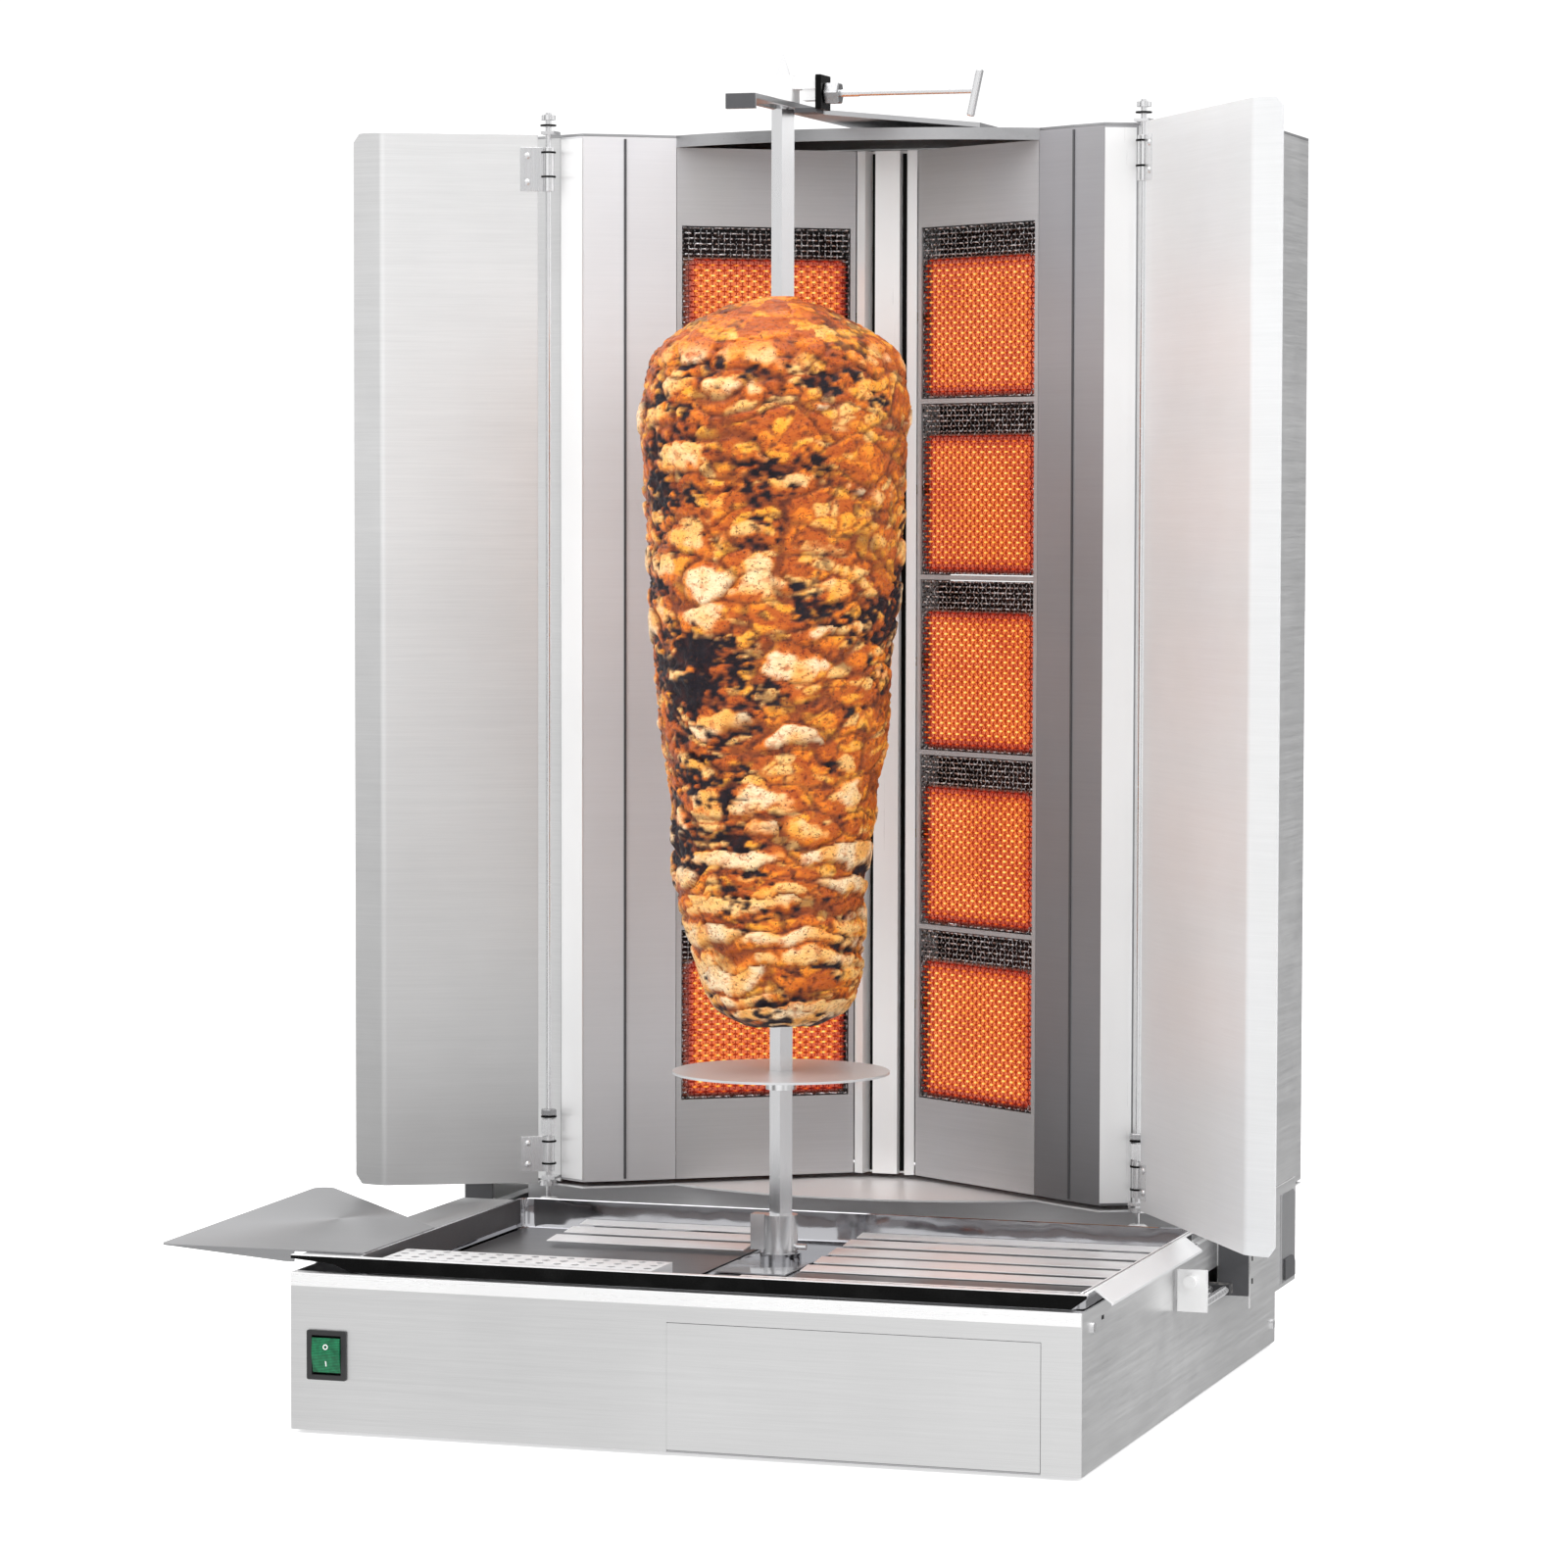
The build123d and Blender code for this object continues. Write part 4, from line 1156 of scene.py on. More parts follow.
@dataclass
class RoastCone:
    """The stacked, roasted meat on the spit."""

    axis: Pair = (0.0, 0.257)
    profile: tuple[Pair, ...] = (
        (0.3075, 0.0100), (0.3080, 0.0330), (0.3170, 0.0510), (0.3330, 0.0620), (0.3760, 0.0715),
        (0.4200, 0.0785), (0.4830, 0.0850), (0.5460, 0.0935), (0.6470, 0.1010), (0.7100, 0.1035),
        (0.7420, 0.1065), (0.7830, 0.1110), (0.8050, 0.1095), (0.8360, 0.1035), (0.8550, 0.0965),
        (0.8740, 0.0700), (0.8880, 0.0400), (0.8945, 0.0100))
    lean: Pair = (-0.0065, -0.0020)
    around: int = 380
    rows: int = 400
    relief: float = 0.0050
    chunk: Pair = (0.056, 0.0230)
    shred: Pair = (0.019, 0.0080)
    dark_side: Pair = (-0.90, -0.44)
    palette: dict[str, Colour] = field(default_factory=lambda: {
        "pale": (0.94, 0.73, 0.46), "cream": (0.93, 0.56, 0.19), "gold": (0.94, 0.41, 0.034),
        "orange": (0.88, 0.240, 0.012), "brown": (0.50, 0.105, 0.009), "umber": (0.070, 0.013, 0.007),
        "char": (0.008, 0.004, 0.010)})

    def outline(self) -> tuple[np.ndarray, np.ndarray]:
        """Evenly spaced heights and radii along the side of the meat."""
        z = np.array([p[0] for p in self.profile])
        r = np.array([p[1] for p in self.profile])
        run = np.concatenate([[0.0], np.cumsum(np.hypot(np.diff(z), np.diff(r)))])
        even = np.linspace(0.0, run[-1], self.rows)
        height, radius = np.interp(even, run, z), np.interp(even, run, r)
        kernel = np.ones(13) / 13
        return height, np.convolve(np.pad(radius, 6, mode="edge"), kernel, mode="valid")

    @staticmethod
    def blend(a: Colour, b: Colour, share: float) -> Colour:
        """Mix two colours."""
        share = 0.0 if share < 0.0 else 1.0 if share > 1.0 else share
        return (a[0] + (b[0] - a[0]) * share, a[1] + (b[1] - a[1]) * share, a[2] + (b[2] - a[2]) * share)

    @staticmethod
    def ease(value: float, low: float, high: float) -> float:
        """Smooth step from 0 at low to 1 at high."""
        share = (value - low) / (high - low)
        share = 0.0 if share < 0.0 else 1.0 if share > 1.0 else share
        return share * share * (3.0 - 2.0 * share)

    def sample(self, place: Vector) -> tuple[float, Colour, float]:
        """Relief, colour and char at one place on the meat.

        Args:
            place: Point on the smooth side, measured from the spit's axis.

        Returns:
            Relief from 0 to 1, colour, and char from 0 to 1.
        """
        tones, blend, ease = self.palette, self.blend, self.ease
        x, y, z = place
        layered = 1.0 - ease(z, 0.40, 0.50)
        crown = ease(z, 0.826, 0.866)
        bent = place + noise.noise_vector(place * 26.0) * 0.011 + noise.noise_vector(place * 95.0) * 0.0024
        sag = 0.012 * layered * (1.0 - (x * self.dark_side[1] - y * self.dark_side[0]) ** 2 / 0.004)
        wide = self.chunk[0] * (1.0 + 0.9 * layered)
        level = (bent.z + sag + 0.6 * min(bent.z - 0.46, 0.0)) / self.chunk[1]
        distances, points = noise.voronoi(Vector((bent.x / wide, bent.y / wide, level)))
        first = noise.cell(points[0] * 7.3)
        second = noise.cell(points[0] * 3.1 + Vector((5.0, 5.0, 5.0)))
        ragged = 0.22 * noise.noise(place * 60.0) + 0.13 * noise.noise(place * 150.0)
        size = 0.44 + 0.26 * second + 0.14 * layered
        slab = ease(size - distances[0] + ragged, 0.0, 0.26) if first < 0.74 + 0.20 * layered else 0.0
        slab *= 1.0 - 0.97 * crown
        seam = 1.0 - ease(distances[1] - distances[0], 0.02, 0.16)

        fine, spots = noise.voronoi(Vector((bent.x / self.shred[0], bent.y / self.shred[0],
                                            bent.z / self.shred[1])))
        strand = noise.cell(spots[0] * 5.7) + 0.30 * noise.noise(place * 60.0) + 0.12 * crown
        gap = 1.0 - ease(fine[1] - fine[0], 0.02, 0.22)
        broad = noise.noise(place * 12.0)
        mood = strand + 0.12 - 0.34 * crown + 0.35 * broad + 0.30 * noise.noise(place * 190.0)
        if mood < 0.10:
            colour = blend(tones["brown"], tones["orange"], (mood + 0.34) / 0.44)
        elif mood < 0.55:
            colour = blend(tones["orange"], tones["gold"], (mood - 0.10) / 0.45)
        else:
            colour = blend(tones["gold"], tones["cream"], (mood - 0.55) / 0.45)
        colour = blend(colour, tones["brown"], 0.85 * gap * (1.0 - 0.8 * crown))
        grit = 0.6 * noise.noise(place * 88.0) + 0.6 * noise.noise(place * 210.0)
        colour = blend(colour, tones["umber"], 0.70 * ease(grit, 0.18, 0.46) * (1.0 - 0.6 * crown))
        flesh = blend(tones["cream"], tones["pale"], 0.05 + 1.1 * second + 0.9 * noise.noise(place * 75.0))
        flesh = blend(flesh, tones["gold"], 0.75 * ease(noise.noise(place * 42.0), 0.0, 0.40))
        flesh = blend(flesh, tones["brown"], 0.60 * ease(grit, 0.26, 0.50))
        colour = blend(colour, blend(tones["orange"], flesh, (slab - 0.10) * 1.5), slab * 2.2)
        colour = blend(colour, tones["umber"], 0.62 * seam * (1.0 - 0.5 * slab) * (1.0 - crown))

        aim = (x * self.dark_side[0] + y * self.dark_side[1]) / (math.hypot(x, y) + 1e-6)
        burn = noise.noise(Vector((x * 15.0 + 4.0, y * 15.0, z * 21.0 + 2.0)))
        burn += 0.60 * noise.noise(Vector((x * 44.0, y * 44.0, z * 76.0 + 9.0)))
        burn += 0.70 * noise.noise(Vector((x * 130.0, y * 130.0, z * 240.0)))
        burn += 0.40 * ease(aim, 0.45, 1.0) * (1.0 - 0.5 * layered) + 0.12 * gap + 0.10 * seam - 0.30 * slab
        scorch = ease(burn, 0.20, 0.46) * (1.0 - 0.60 * crown)
        char = ease(burn, 0.36, 0.66) * (1.0 - 0.5 * crown)
        colour = blend(colour, tones["umber"], 0.50 * scorch)
        colour = blend(colour, blend(tones["umber"], tones["char"], char * 1.1 + 1.2 * grit), char * 1.15)
        rise = 0.30 + 0.62 * slab
        rise = rise + 0.22 * (1.0 - gap) * (1.0 - slab) - 0.30 * seam * (1.0 - slab) - 0.14 * char
        return rise, colour, char

    def mesh(self) -> Object:
        """Shape and paint the meat."""
        height, radius = self.outline()
        verts, faces, paint, burnt = [], [], [], []
        cx, cy = self.axis[0], FRONT_Y + self.axis[1]
        for row in range(self.rows):
            z, r = float(height[row]), float(radius[row])
            fade = min(1.0, row / 10.0, (self.rows - 1 - row) / 10.0)
            shift = fade * self.ease(z, 0.33, 0.42)
            for step in range(self.around):
                turn = 2 * math.pi * step / self.around
                ux, uy = math.cos(turn), math.sin(turn)
                place = Vector((ux * r, uy * r, z))
                rise, colour, char = self.sample(place)
                lump = 0.0040 * noise.noise(place * 13.0) + 0.0016 * noise.noise(place * 34.0)
                rough = 0.0011 * noise.noise(place * 150.0) * (0.5 + char)
                out = r + fade * (self.relief * (rise - 0.62) + lump + rough)
                verts.append((cx + ux * out + shift * self.lean[0], cy + uy * out + shift * self.lean[1],
                              z + 0.0020 * fade * (rise - 0.5)))
                paint.extend((*colour, 1.0))
                burnt.append(char)
        for row in range(self.rows - 1):
            for step in range(self.around):
                after = (step + 1) % self.around
                a, b = row * self.around + step, row * self.around + after
                faces.append((a, b, b + self.around, a + self.around))
        faces.append(tuple(range(self.around))[::-1])
        last = (self.rows - 1) * self.around
        faces.append(tuple(last + step for step in range(self.around)))
        made = new_object("roasted_meat", verts, faces, FINISH.roast, True)
        made.data.attributes.new("roast", "FLOAT_COLOR", "POINT").data.foreach_set("color", paint)
        made.data.attributes.new("char", "FLOAT", "POINT").data.foreach_set("value", burnt)
        return made

    def build(self) -> None:
        """Make the meat and put it in place of the plain cone."""
        settle(self.mesh(), "spit", "roast_meat", "meat_cone")


@dataclass
class Wing:
    """A hinged side wing: folded sheet with rounded folds and corners, and its knuckles."""

    side: Side
    length: float
    angle: float
    hinge: Pair = (0.259, 0.411)
    start: float = 0.009
    flange: float = 0.028
    bend: float = 37.0
    sheet: float = 0.0015
    fold_radius: float = 0.0035
    bottom: float = 0.148
    top: float = 1.040
    corner: float = 0.008
    knuckle_spans: tuple[Pair, ...] = ((0.992, 1.029), (0.158, 0.188))
    knuckle_radius: float = 0.005
    leaf: Pair = (0.022, 0.0026)
    leaf_out: float = 0.013
    screw_radius: float = 0.0028
    screw_place: Pair = (0.018, -0.0014)

    def centre_line(self) -> list[Pair]:
        """Plan line of the sheet, with the fold as an arc."""
        angle = math.radians(self.angle)
        bend = angle + math.radians(self.bend)
        hx, hy = self.hinge
        aim = (math.sin(angle), -math.cos(angle))
        aim2 = (math.sin(bend), -math.cos(bend))
        end = (hx + aim[0] * self.length, hy + aim[1] * self.length)
        cut = self.fold_radius * math.tan(math.radians(self.bend) / 2) * 3
        points = []
        straight = self.length - self.start - cut
        for k in range(9):
            reach = self.start + straight * k / 8
            points.append((hx + aim[0] * reach, hy + aim[1] * reach))
        a = (end[0] - aim[0] * cut, end[1] - aim[1] * cut)
        b = (end[0] + aim2[0] * cut, end[1] + aim2[1] * cut)
        for k in range(1, 8):
            t = k / 8
            points.append(tuple((1 - t) ** 2 * a[i] + 2 * t * (1 - t) * end[i] + t * t * b[i]
                                for i in (0, 1)))
        for k in range(5):
            reach = cut + (self.flange - cut) * k / 4
            points.append((end[0] + aim2[0] * reach, end[1] + aim2[1] * reach))
        return points

    def sheet_object(self) -> Object:
        """Build the folded sheet, as a grid that is thickened and rounded."""
        line = self.centre_line()
        run = [0.0]
        for a, b in zip(line[:-1], line[1:]):
            run.append(run[-1] + math.hypot(b[0] - a[0], b[1] - a[1]))
        total = run[-1]
        height = self.top - self.bottom
        ends = (0.0, 0.0015, 0.004, 0.008, 0.02)
        levels = sorted({*ends, *(0.12 * k for k in range(1, 8)), *(height - low for low in ends)})
        verts = []
        sign = self.side.value
        for level in levels:
            for (x, back), s in zip(line, run):
                z = self.bottom + level
                out = max(0.0, s - total + self.corner)
                lift = self.corner - math.sqrt(max(self.corner ** 2 - out ** 2, 0.0))
                z = min(max(z, self.bottom + lift), self.top - lift)
                verts.append(plan(sign * x, back, z))
        count = len(line)
        faces = []
        for r in range(len(levels) - 1):
            for c in range(count - 1):
                a = r * count + c
                faces.append((a, a + 1, a + count + 1, a + count))
        # The right wing takes the lit copy of the steel, which paints its light.
        made = new_object(f"wing_sheet_{self.side.word}", verts, faces,
                          FINISH.wing if self.side is Side.LEFT else FINISH.lit_wing)
        work = bmesh.new()
        work.from_mesh(made.data)
        bmesh.ops.remove_doubles(work, verts=work.verts, dist=MERGE)
        bmesh.ops.recalc_face_normals(work, faces=work.faces)
        work.to_mesh(made.data)
        work.free()
        thicken(made, self.sheet, 0.0)
        chamfer(made, 0.0004, 40.0)
        return made

    def knuckles(self) -> Object:
        """Build the hinge knuckles, their leaves and screws."""
        work = bmesh.new()
        sign = self.side.value
        hx, hy = self.hinge
        angle = math.radians(self.angle)
        for low, high in self.knuckle_spans:
            middle = plan(sign * hx, hy, (low + high) / 2)
            shape = bmesh.ops.create_cone(work, cap_ends=True, segments=32, radius1=self.knuckle_radius,
                                          radius2=self.knuckle_radius, depth=high - low)
            bmesh.ops.translate(work, verts=shape["verts"], vec=middle)
            leaf = bmesh.ops.create_cube(work, size=1.0)
            turn = Matrix.Rotation(sign * (angle - math.pi / 2), 4, "Z")
            move = Matrix.Translation(middle)
            slide = Matrix.Translation((sign * self.leaf_out, 0.0, 0.0))
            size = Matrix.Diagonal((*self.leaf, high - low, 1.0))
            bmesh.ops.transform(work, matrix=move @ turn @ slide @ size, verts=leaf["verts"])
            for k in (-1, 1):
                head = bmesh.ops.create_uvsphere(work, u_segments=16, v_segments=8, radius=self.screw_radius)
                out, front = self.screw_place
                place = Matrix.Translation((sign * out, front, k * (high - low) * 0.3))
                flat = Matrix.Diagonal((1.0, 0.5, 1.0, 1.0))
                bmesh.ops.transform(work, matrix=move @ turn @ place @ flat, verts=head["verts"])
        made = from_bmesh(f"wing_knuckles_{self.side.word}", work, FINISH.hardware)
        chamfer(made, 0.0003, 50.0)
        return made

    def build(self) -> None:
        """Make the wing and put it in place of the plain one."""
        body = f"wing_{self.side.word}"
        settle(self.sheet_object(), body, "wing_steel", body)
        settle(self.knuckles(), body, "hardware_steel")


@dataclass
class DripPan:
    """Polished pan with a rolled rim, a black front lip that paints its dark reflection and shade, strainers,
    dark sheets that paint the shade under them, slats and an apron.
    """

    x: Pair = (-0.268, 0.316)
    back: Pair = (0.012, 0.371)
    floor: float = 0.115
    rim: float = 0.140
    sheet: float = 0.0012
    corner: float = 0.012
    spit_back: float = 0.257
    slot_half: Pair = (0.017, 0.047)
    drain: tuple[float, float, float] = (0.140, 0.180, 0.009)
    lip_half: float = 0.322
    cover_half: float = 0.036
    hole_pitch: Pair = (0.0145, 0.0150)
    hole_radius: float = 0.0034
    hole_steps: int = 16
    strainer_top: float = 0.1350
    shade_sheet_back: Pair = (0.022, 0.364)
    slat_backs: tuple[Pair, ...] = ((0.196, 0.216), (0.232, 0.254), (0.270, 0.294), (0.311, 0.333),
                                    (0.349, 0.366))

    def loop(self, inset: float, z: float, steps: int = 6) -> list[Vector]:
        """Rounded rectangle inside the pan's wall.

        Args:
            inset: Distance inside the wall's inner face.
            z: Height.
            steps: Steps round each corner.

        Returns:
            Points anticlockwise from above.
        """
        radius = max(self.corner - inset, 0.002)
        points = []
        corners = ((1, -1, -90), (1, 1, 0), (-1, 1, 90), (-1, -1, 180))
        for sx, sy, first in corners:
            cx = (self.x[1] - inset - radius) if sx > 0 else (self.x[0] + inset + radius)
            cb = (self.back[1] - inset - radius) if sy > 0 else (self.back[0] + inset + radius)
            for k in range(steps + 1):
                turn = math.radians(first + 90.0 * k / steps)
                points.append(Vector(plan(cx + radius * math.cos(turn), cb + radius * math.sin(turn), z)))
        return points

    def holes(self, z: float) -> list[list[Vector]]:
        """Spit slot and drain hole as loops at a height."""
        dx, db = self.slot_half
        slot = box(-dx, self.spit_back - db, dx, self.spit_back + db)
        cx, cb, radius = self.drain
        drain = [(cx + u, cb + v) for u, v in round_points(radius, 24)]
        return [[Vector(plan(x, b, z)) for x, b in ring] for ring in (slot, drain)]

    def shell(self) -> Object:
        """Loft the walls and rim, and fill the floor round its slot and drain."""
        s = self.sheet
        levels = [(-s, self.floor - s), (-s, self.rim - 0.0032), (-s - 0.0012, self.rim - 0.0022),
                  (-s - 0.0010, self.rim - 0.0004), (-s * 0.5, self.rim), (0.0, self.rim - 0.0006),
                  (0.0, self.floor + 0.0034), (0.0008, self.floor + 0.0010), (0.0028, self.floor)]
        work = bmesh.new()
        rings = [[work.verts.new(point) for point in self.loop(inset, z)] for inset, z in levels]
        for low, high in zip(rings[:-1], rings[1:]):
            bridge(work, low, high)
        cut = [[[work.verts.new(point) for point in ring] for ring in self.holes(z)]
               for z in (self.floor - s, self.floor)]
        for under, over in zip(*cut):
            bridge(work, under, over)
        for rim, openings in ((rings[0], cut[0]), (rings[-1], cut[1])):
            edges = []
            for ring in (rim, *openings):
                edges += [work.edges.get((ring[k], ring[(k + 1) % len(ring)])) for k in range(len(ring))]
            bmesh.ops.triangle_fill(work, use_beauty=True, edges=edges)
        made = from_bmesh("drip_pan_shell", work, FINISH.mirror)
        made.data.shade_smooth()
        made.data.set_sharp_from_angle(angle=math.radians(32))
        return made

    def strainer(self, name: str, x: Pair, back: Pair) -> Object:
        """Perforated plate that stands over the pan's floor on its folded skirt.

        Args:
            name: Object name.
            x: From and to across.
            back: From and to towards the back.

        Returns:
            The plate.
        """
        columns = max(1, round((x[1] - x[0]) / self.hole_pitch[0]))
        rows = max(1, round((back[1] - back[0]) / self.hole_pitch[1]))
        half = ((x[1] - x[0]) / columns / 2, (back[1] - back[0]) / rows / 2)
        z = self.strainer_top
        work = bmesh.new()
        for c in range(columns):
            for r in range(rows):
                cx, cb = x[0] + (2 * c + 1) * half[0], back[0] + (2 * r + 1) * half[1]
                outer, inner = [], []
                for u, v in round_points(1.0, self.hole_steps):
                    grow, hole = 1.0 / max(abs(u), abs(v)), self.hole_radius
                    outer.append(work.verts.new(plan(cx + half[0] * u * grow, cb + half[1] * v * grow, z)))
                    inner.append(work.verts.new(plan(cx + hole * u, cb + hole * v, z)))
                bridge(work, outer, inner)
        bmesh.ops.remove_doubles(work, verts=work.verts, dist=MERGE)
        rim = [edge for edge in work.edges if edge.is_boundary and self.on_rim(edge, x, back)]
        skirt = bmesh.ops.extrude_edge_only(work, edges=rim)["geom"]
        for vertex in (item for item in skirt if isinstance(item, bmesh.types.BMVert)):
            vertex.co.z = self.floor + 0.0010
        made = from_bmesh(name, work, FINISH.level)
        thicken(made, 0.0008, -1.0)
        return made

    @staticmethod
    def on_rim(edge: bmesh.types.BMEdge, x: Pair, back: Pair) -> bool:
        """Whether an edge of the strainer lies on its outer rim."""
        middle = (edge.verts[0].co + edge.verts[1].co) / 2
        gaps = [middle.x - end for end in x] + [middle.y - FRONT_Y - end for end in back]
        return min(abs(gap) for gap in gaps) < 1e-5

    def tray(self, name: str, x: Pair) -> None:
        """Dark sheet on the pan's floor, seen through the holes and gaps above it, that paints the shade
        under the strainers.
        """
        outline = box(self.shade_sheet_back[0], self.floor + 0.0004, self.shade_sheet_back[1], self.floor + 0.0009)
        root_plate("pan_steel", name, outline, Along.X, x[0], x[1] - x[0], FINISH.tray, 0.0001)

    def slats(self, name: str, x: Pair, first: int = 0) -> None:
        """Row of bright sloped slats that turn fat towards the drain.

        Args:
            name: Start of the object names.
            x: From and to across.
            first: Number of the slat that the row starts with.
        """
        for k in range(first, len(self.slat_backs)):
            start, end = self.slat_backs[k]
            low = self.floor + 0.0024 + 0.0014 * k
            high = low + 0.0019
            outline = [(start, low), (end, high), (end, high - 0.0009), (start, low - 0.0009)]
            root_plate("pan_steel", f"{name}_{k + 1}", outline[::-1], Along.X, x[0], x[1] - x[0],
                       FINISH.level, 0.0002)

    def bead(self, name: str, start: Point, end: Point, radius: float) -> None:
        """Bright rolled bead between two points."""
        verts, faces = [], []
        line = [Vector(start).lerp(Vector(end), k / 12) for k in range(13)]
        add_tube(verts, faces, line, radius, 10)
        settle(new_object(name, verts, faces, FINISH.strip, True), "root", "pan_steel")

    def build(self) -> None:
        """Make the pan's pieces and put them in place of the plain pan."""
        settle(self.shell(), "root", "pan_steel", "drip_pan")
        half, rim, slot = self.lip_half, self.rim, "pan_steel"
        # Painted reflection and shade: the lip's front face is a black plate that stands for the dark room
        # the polished lip mirrors and the shade under its rolled rim.
        face = [(-half, rim - 0.0005), (half, rim - 0.0005), (half, rim - 0.0030), (half - 0.012, 0.1284),
                (-half + 0.050, 0.1284), (-half + 0.036, 0.1340), (-half, rim - 0.0030)]
        root_plate(slot, "pan_lip_painted_shade", face, Along.Y, 0.0046, 0.0012, FINISH.enamel)
        top = box(-half, 0.0047, half, 0.0108)
        root_plate(slot, "pan_lip_top", top, Along.Z, rim - 0.0012, 0.0012, FINISH.level)
        z = rim - 0.0009
        self.bead("pan_lip_bead", plan(-half + 0.001, 0.0056, z), plan(half - 0.001, 0.0056, z), 0.0009)
        for k, x in enumerate((0.3188, 0.3155)):
            z = rim - 0.0008 + 0.0001 * k
            self.bead(f"pan_side_bead_{k + 1}", plan(x, 0.013, z), plan(x, 0.371, z), 0.0008)
        flange = box(-0.322, 0.0108, -0.2695, 0.371)
        root_plate(slot, "pan_left_flange", flange, Along.Z, 0.1364, 0.0012, FINISH.flat)
        guard = box(0.016, 0.119, 0.366, 0.1396)
        root_plate(slot, "pan_left_guard", guard, Along.X, self.x[0] + 0.0002, 0.0010, FINISH.grey)
        slope = [(0.3185, rim - 0.0002), (0.3332, 0.1294), (0.3332, 0.1274), (0.3320, 0.1274),
                 (0.3320, 0.1286), (0.3176, 0.1388)]
        root_plate(slot, "pan_apron", slope, Along.Y, 0.040, 0.290, FINISH.level)
        left, right = self.x[0] + 0.008, self.x[1] - 0.008
        for name, across, depth in (("left", (left, -self.cover_half), 0.094),
                                    ("right", (self.cover_half, right), 0.050)):
            settle(self.strainer(f"strainer_{name}", across, (0.018, depth)), "root", slot)
        left, right = (self.x[0] + 0.060, -self.cover_half), (self.cover_half, self.x[1] - 0.010)
        # Dark sheets under the strainers paint the shade seen through their holes.
        self.tray("shade_sheet_left", (self.x[0] + 0.006, left[1]))
        self.tray("shade_sheet_right", right)
        self.slats("slat_left", left, 2)
        self.slats("slat_right", right)


@dataclass
class TowerTrim:
    """Bright strips that paint the posts' highlight, panel seams, and black strips that paint the shade in
    the grooves beside the centre strip.
    """

    low: float = 0.152
    high: float = 1.036
    fold: Pair = (0.196, 0.428)
    post: Pair = (0.227, 0.409)
    hinge: Pair = (0.2505, 0.42075)
    groove: Pair = (0.0117, 0.0153)
    groove_back: float = 0.5530

    def build(self) -> None:
        """Make the trim on both sides."""
        for side in Side:
            sign, word = side.value, side.word
            rise = self.high - self.low
            # Painted highlight: a strip of the bright, less metallic steel over each post's face makes it
            # read white.
            ends = sorted((sign * x, back) for x, back in (self.post, self.hinge))
            face = strip_outline(*ends, 0.0004, 0.0006)
            root_plate("bright_strip", f"post_highlight_{word}", face, Along.Z, self.low, rise, FINISH.strip, 0.0)
            x, back = sign * self.fold[0], self.fold[1]
            seam = strip_outline((x - 0.0009, back + sign * 0.0006), (x + 0.0009, back - sign * 0.0006),
                                 0.0003, 0.0005)
            root_plate("dark_steel", f"panel_seam_{word}", seam, Along.Z, self.low, rise, FINISH.grey, 0.0)
            # Painted shade: a black strip at the bottom of each groove beside the centre strip stands for the
            # shade in it.
            x0, x1 = sorted((sign * self.groove[0], sign * self.groove[1]))
            channel = box(x0, self.groove_back - 0.0004, x1, self.groove_back)
            root_plate("dark_steel", f"strip_groove_shade_{word}", channel, Along.Z, self.low, 0.876,
                       FINISH.enamel, 0.0)


@dataclass
class HingeFittings:
    """Washers, rings, nuts and feet of the two wing hinges."""

    hinge: Pair = (0.259, 0.411)
    pin: float = 0.0026
    tube: float = 0.0051
    washers: tuple[float, ...] = (1.0468, 0.2042)
    rings: tuple[float, ...] = (1.0240, 1.0035, 0.1830, 0.1640)

    def build(self) -> None:
        """Make the fittings of both hinges."""
        slot = "hardware_steel"
        for side in Side:
            word, place = side.word, (side.value * self.hinge[0], self.hinge[1])
            for k, low in enumerate(self.washers):
                washer = box(self.pin, low, 0.0068, low + 0.0014)
                settle(turned(f"hinge_washer_{word}_{k + 1}", washer, place, FINISH.enamel), "root", slot)
            nut = [(self.pin, 0.2056), (0.0062, 0.2056), (0.0070, 0.2064), (0.0070, 0.2106),
                   (0.0062, 0.2114), (self.pin, 0.2114)]
            settle(turned(f"hinge_nut_{word}", nut, place, FINISH.turned, 48, 6), "root", slot)
            foot = [(0.0010, 0.1130), (0.0060, 0.1130), (0.0060, 0.1180), (0.0095, 0.1205),
                    (0.0100, 0.1330), (0.0062, 0.1358), (0.0010, 0.1358)]
            settle(turned(f"hinge_foot_{word}", foot, place, FINISH.strip), "root", slot)
            for k, low in enumerate(self.rings):
                ring = box(self.tube, low, 0.0064, low + 0.0016)
                settle(turned(f"wing_ring_{word}_{k + 1}", ring, place, FINISH.enamel), f"wing_{word}", slot)


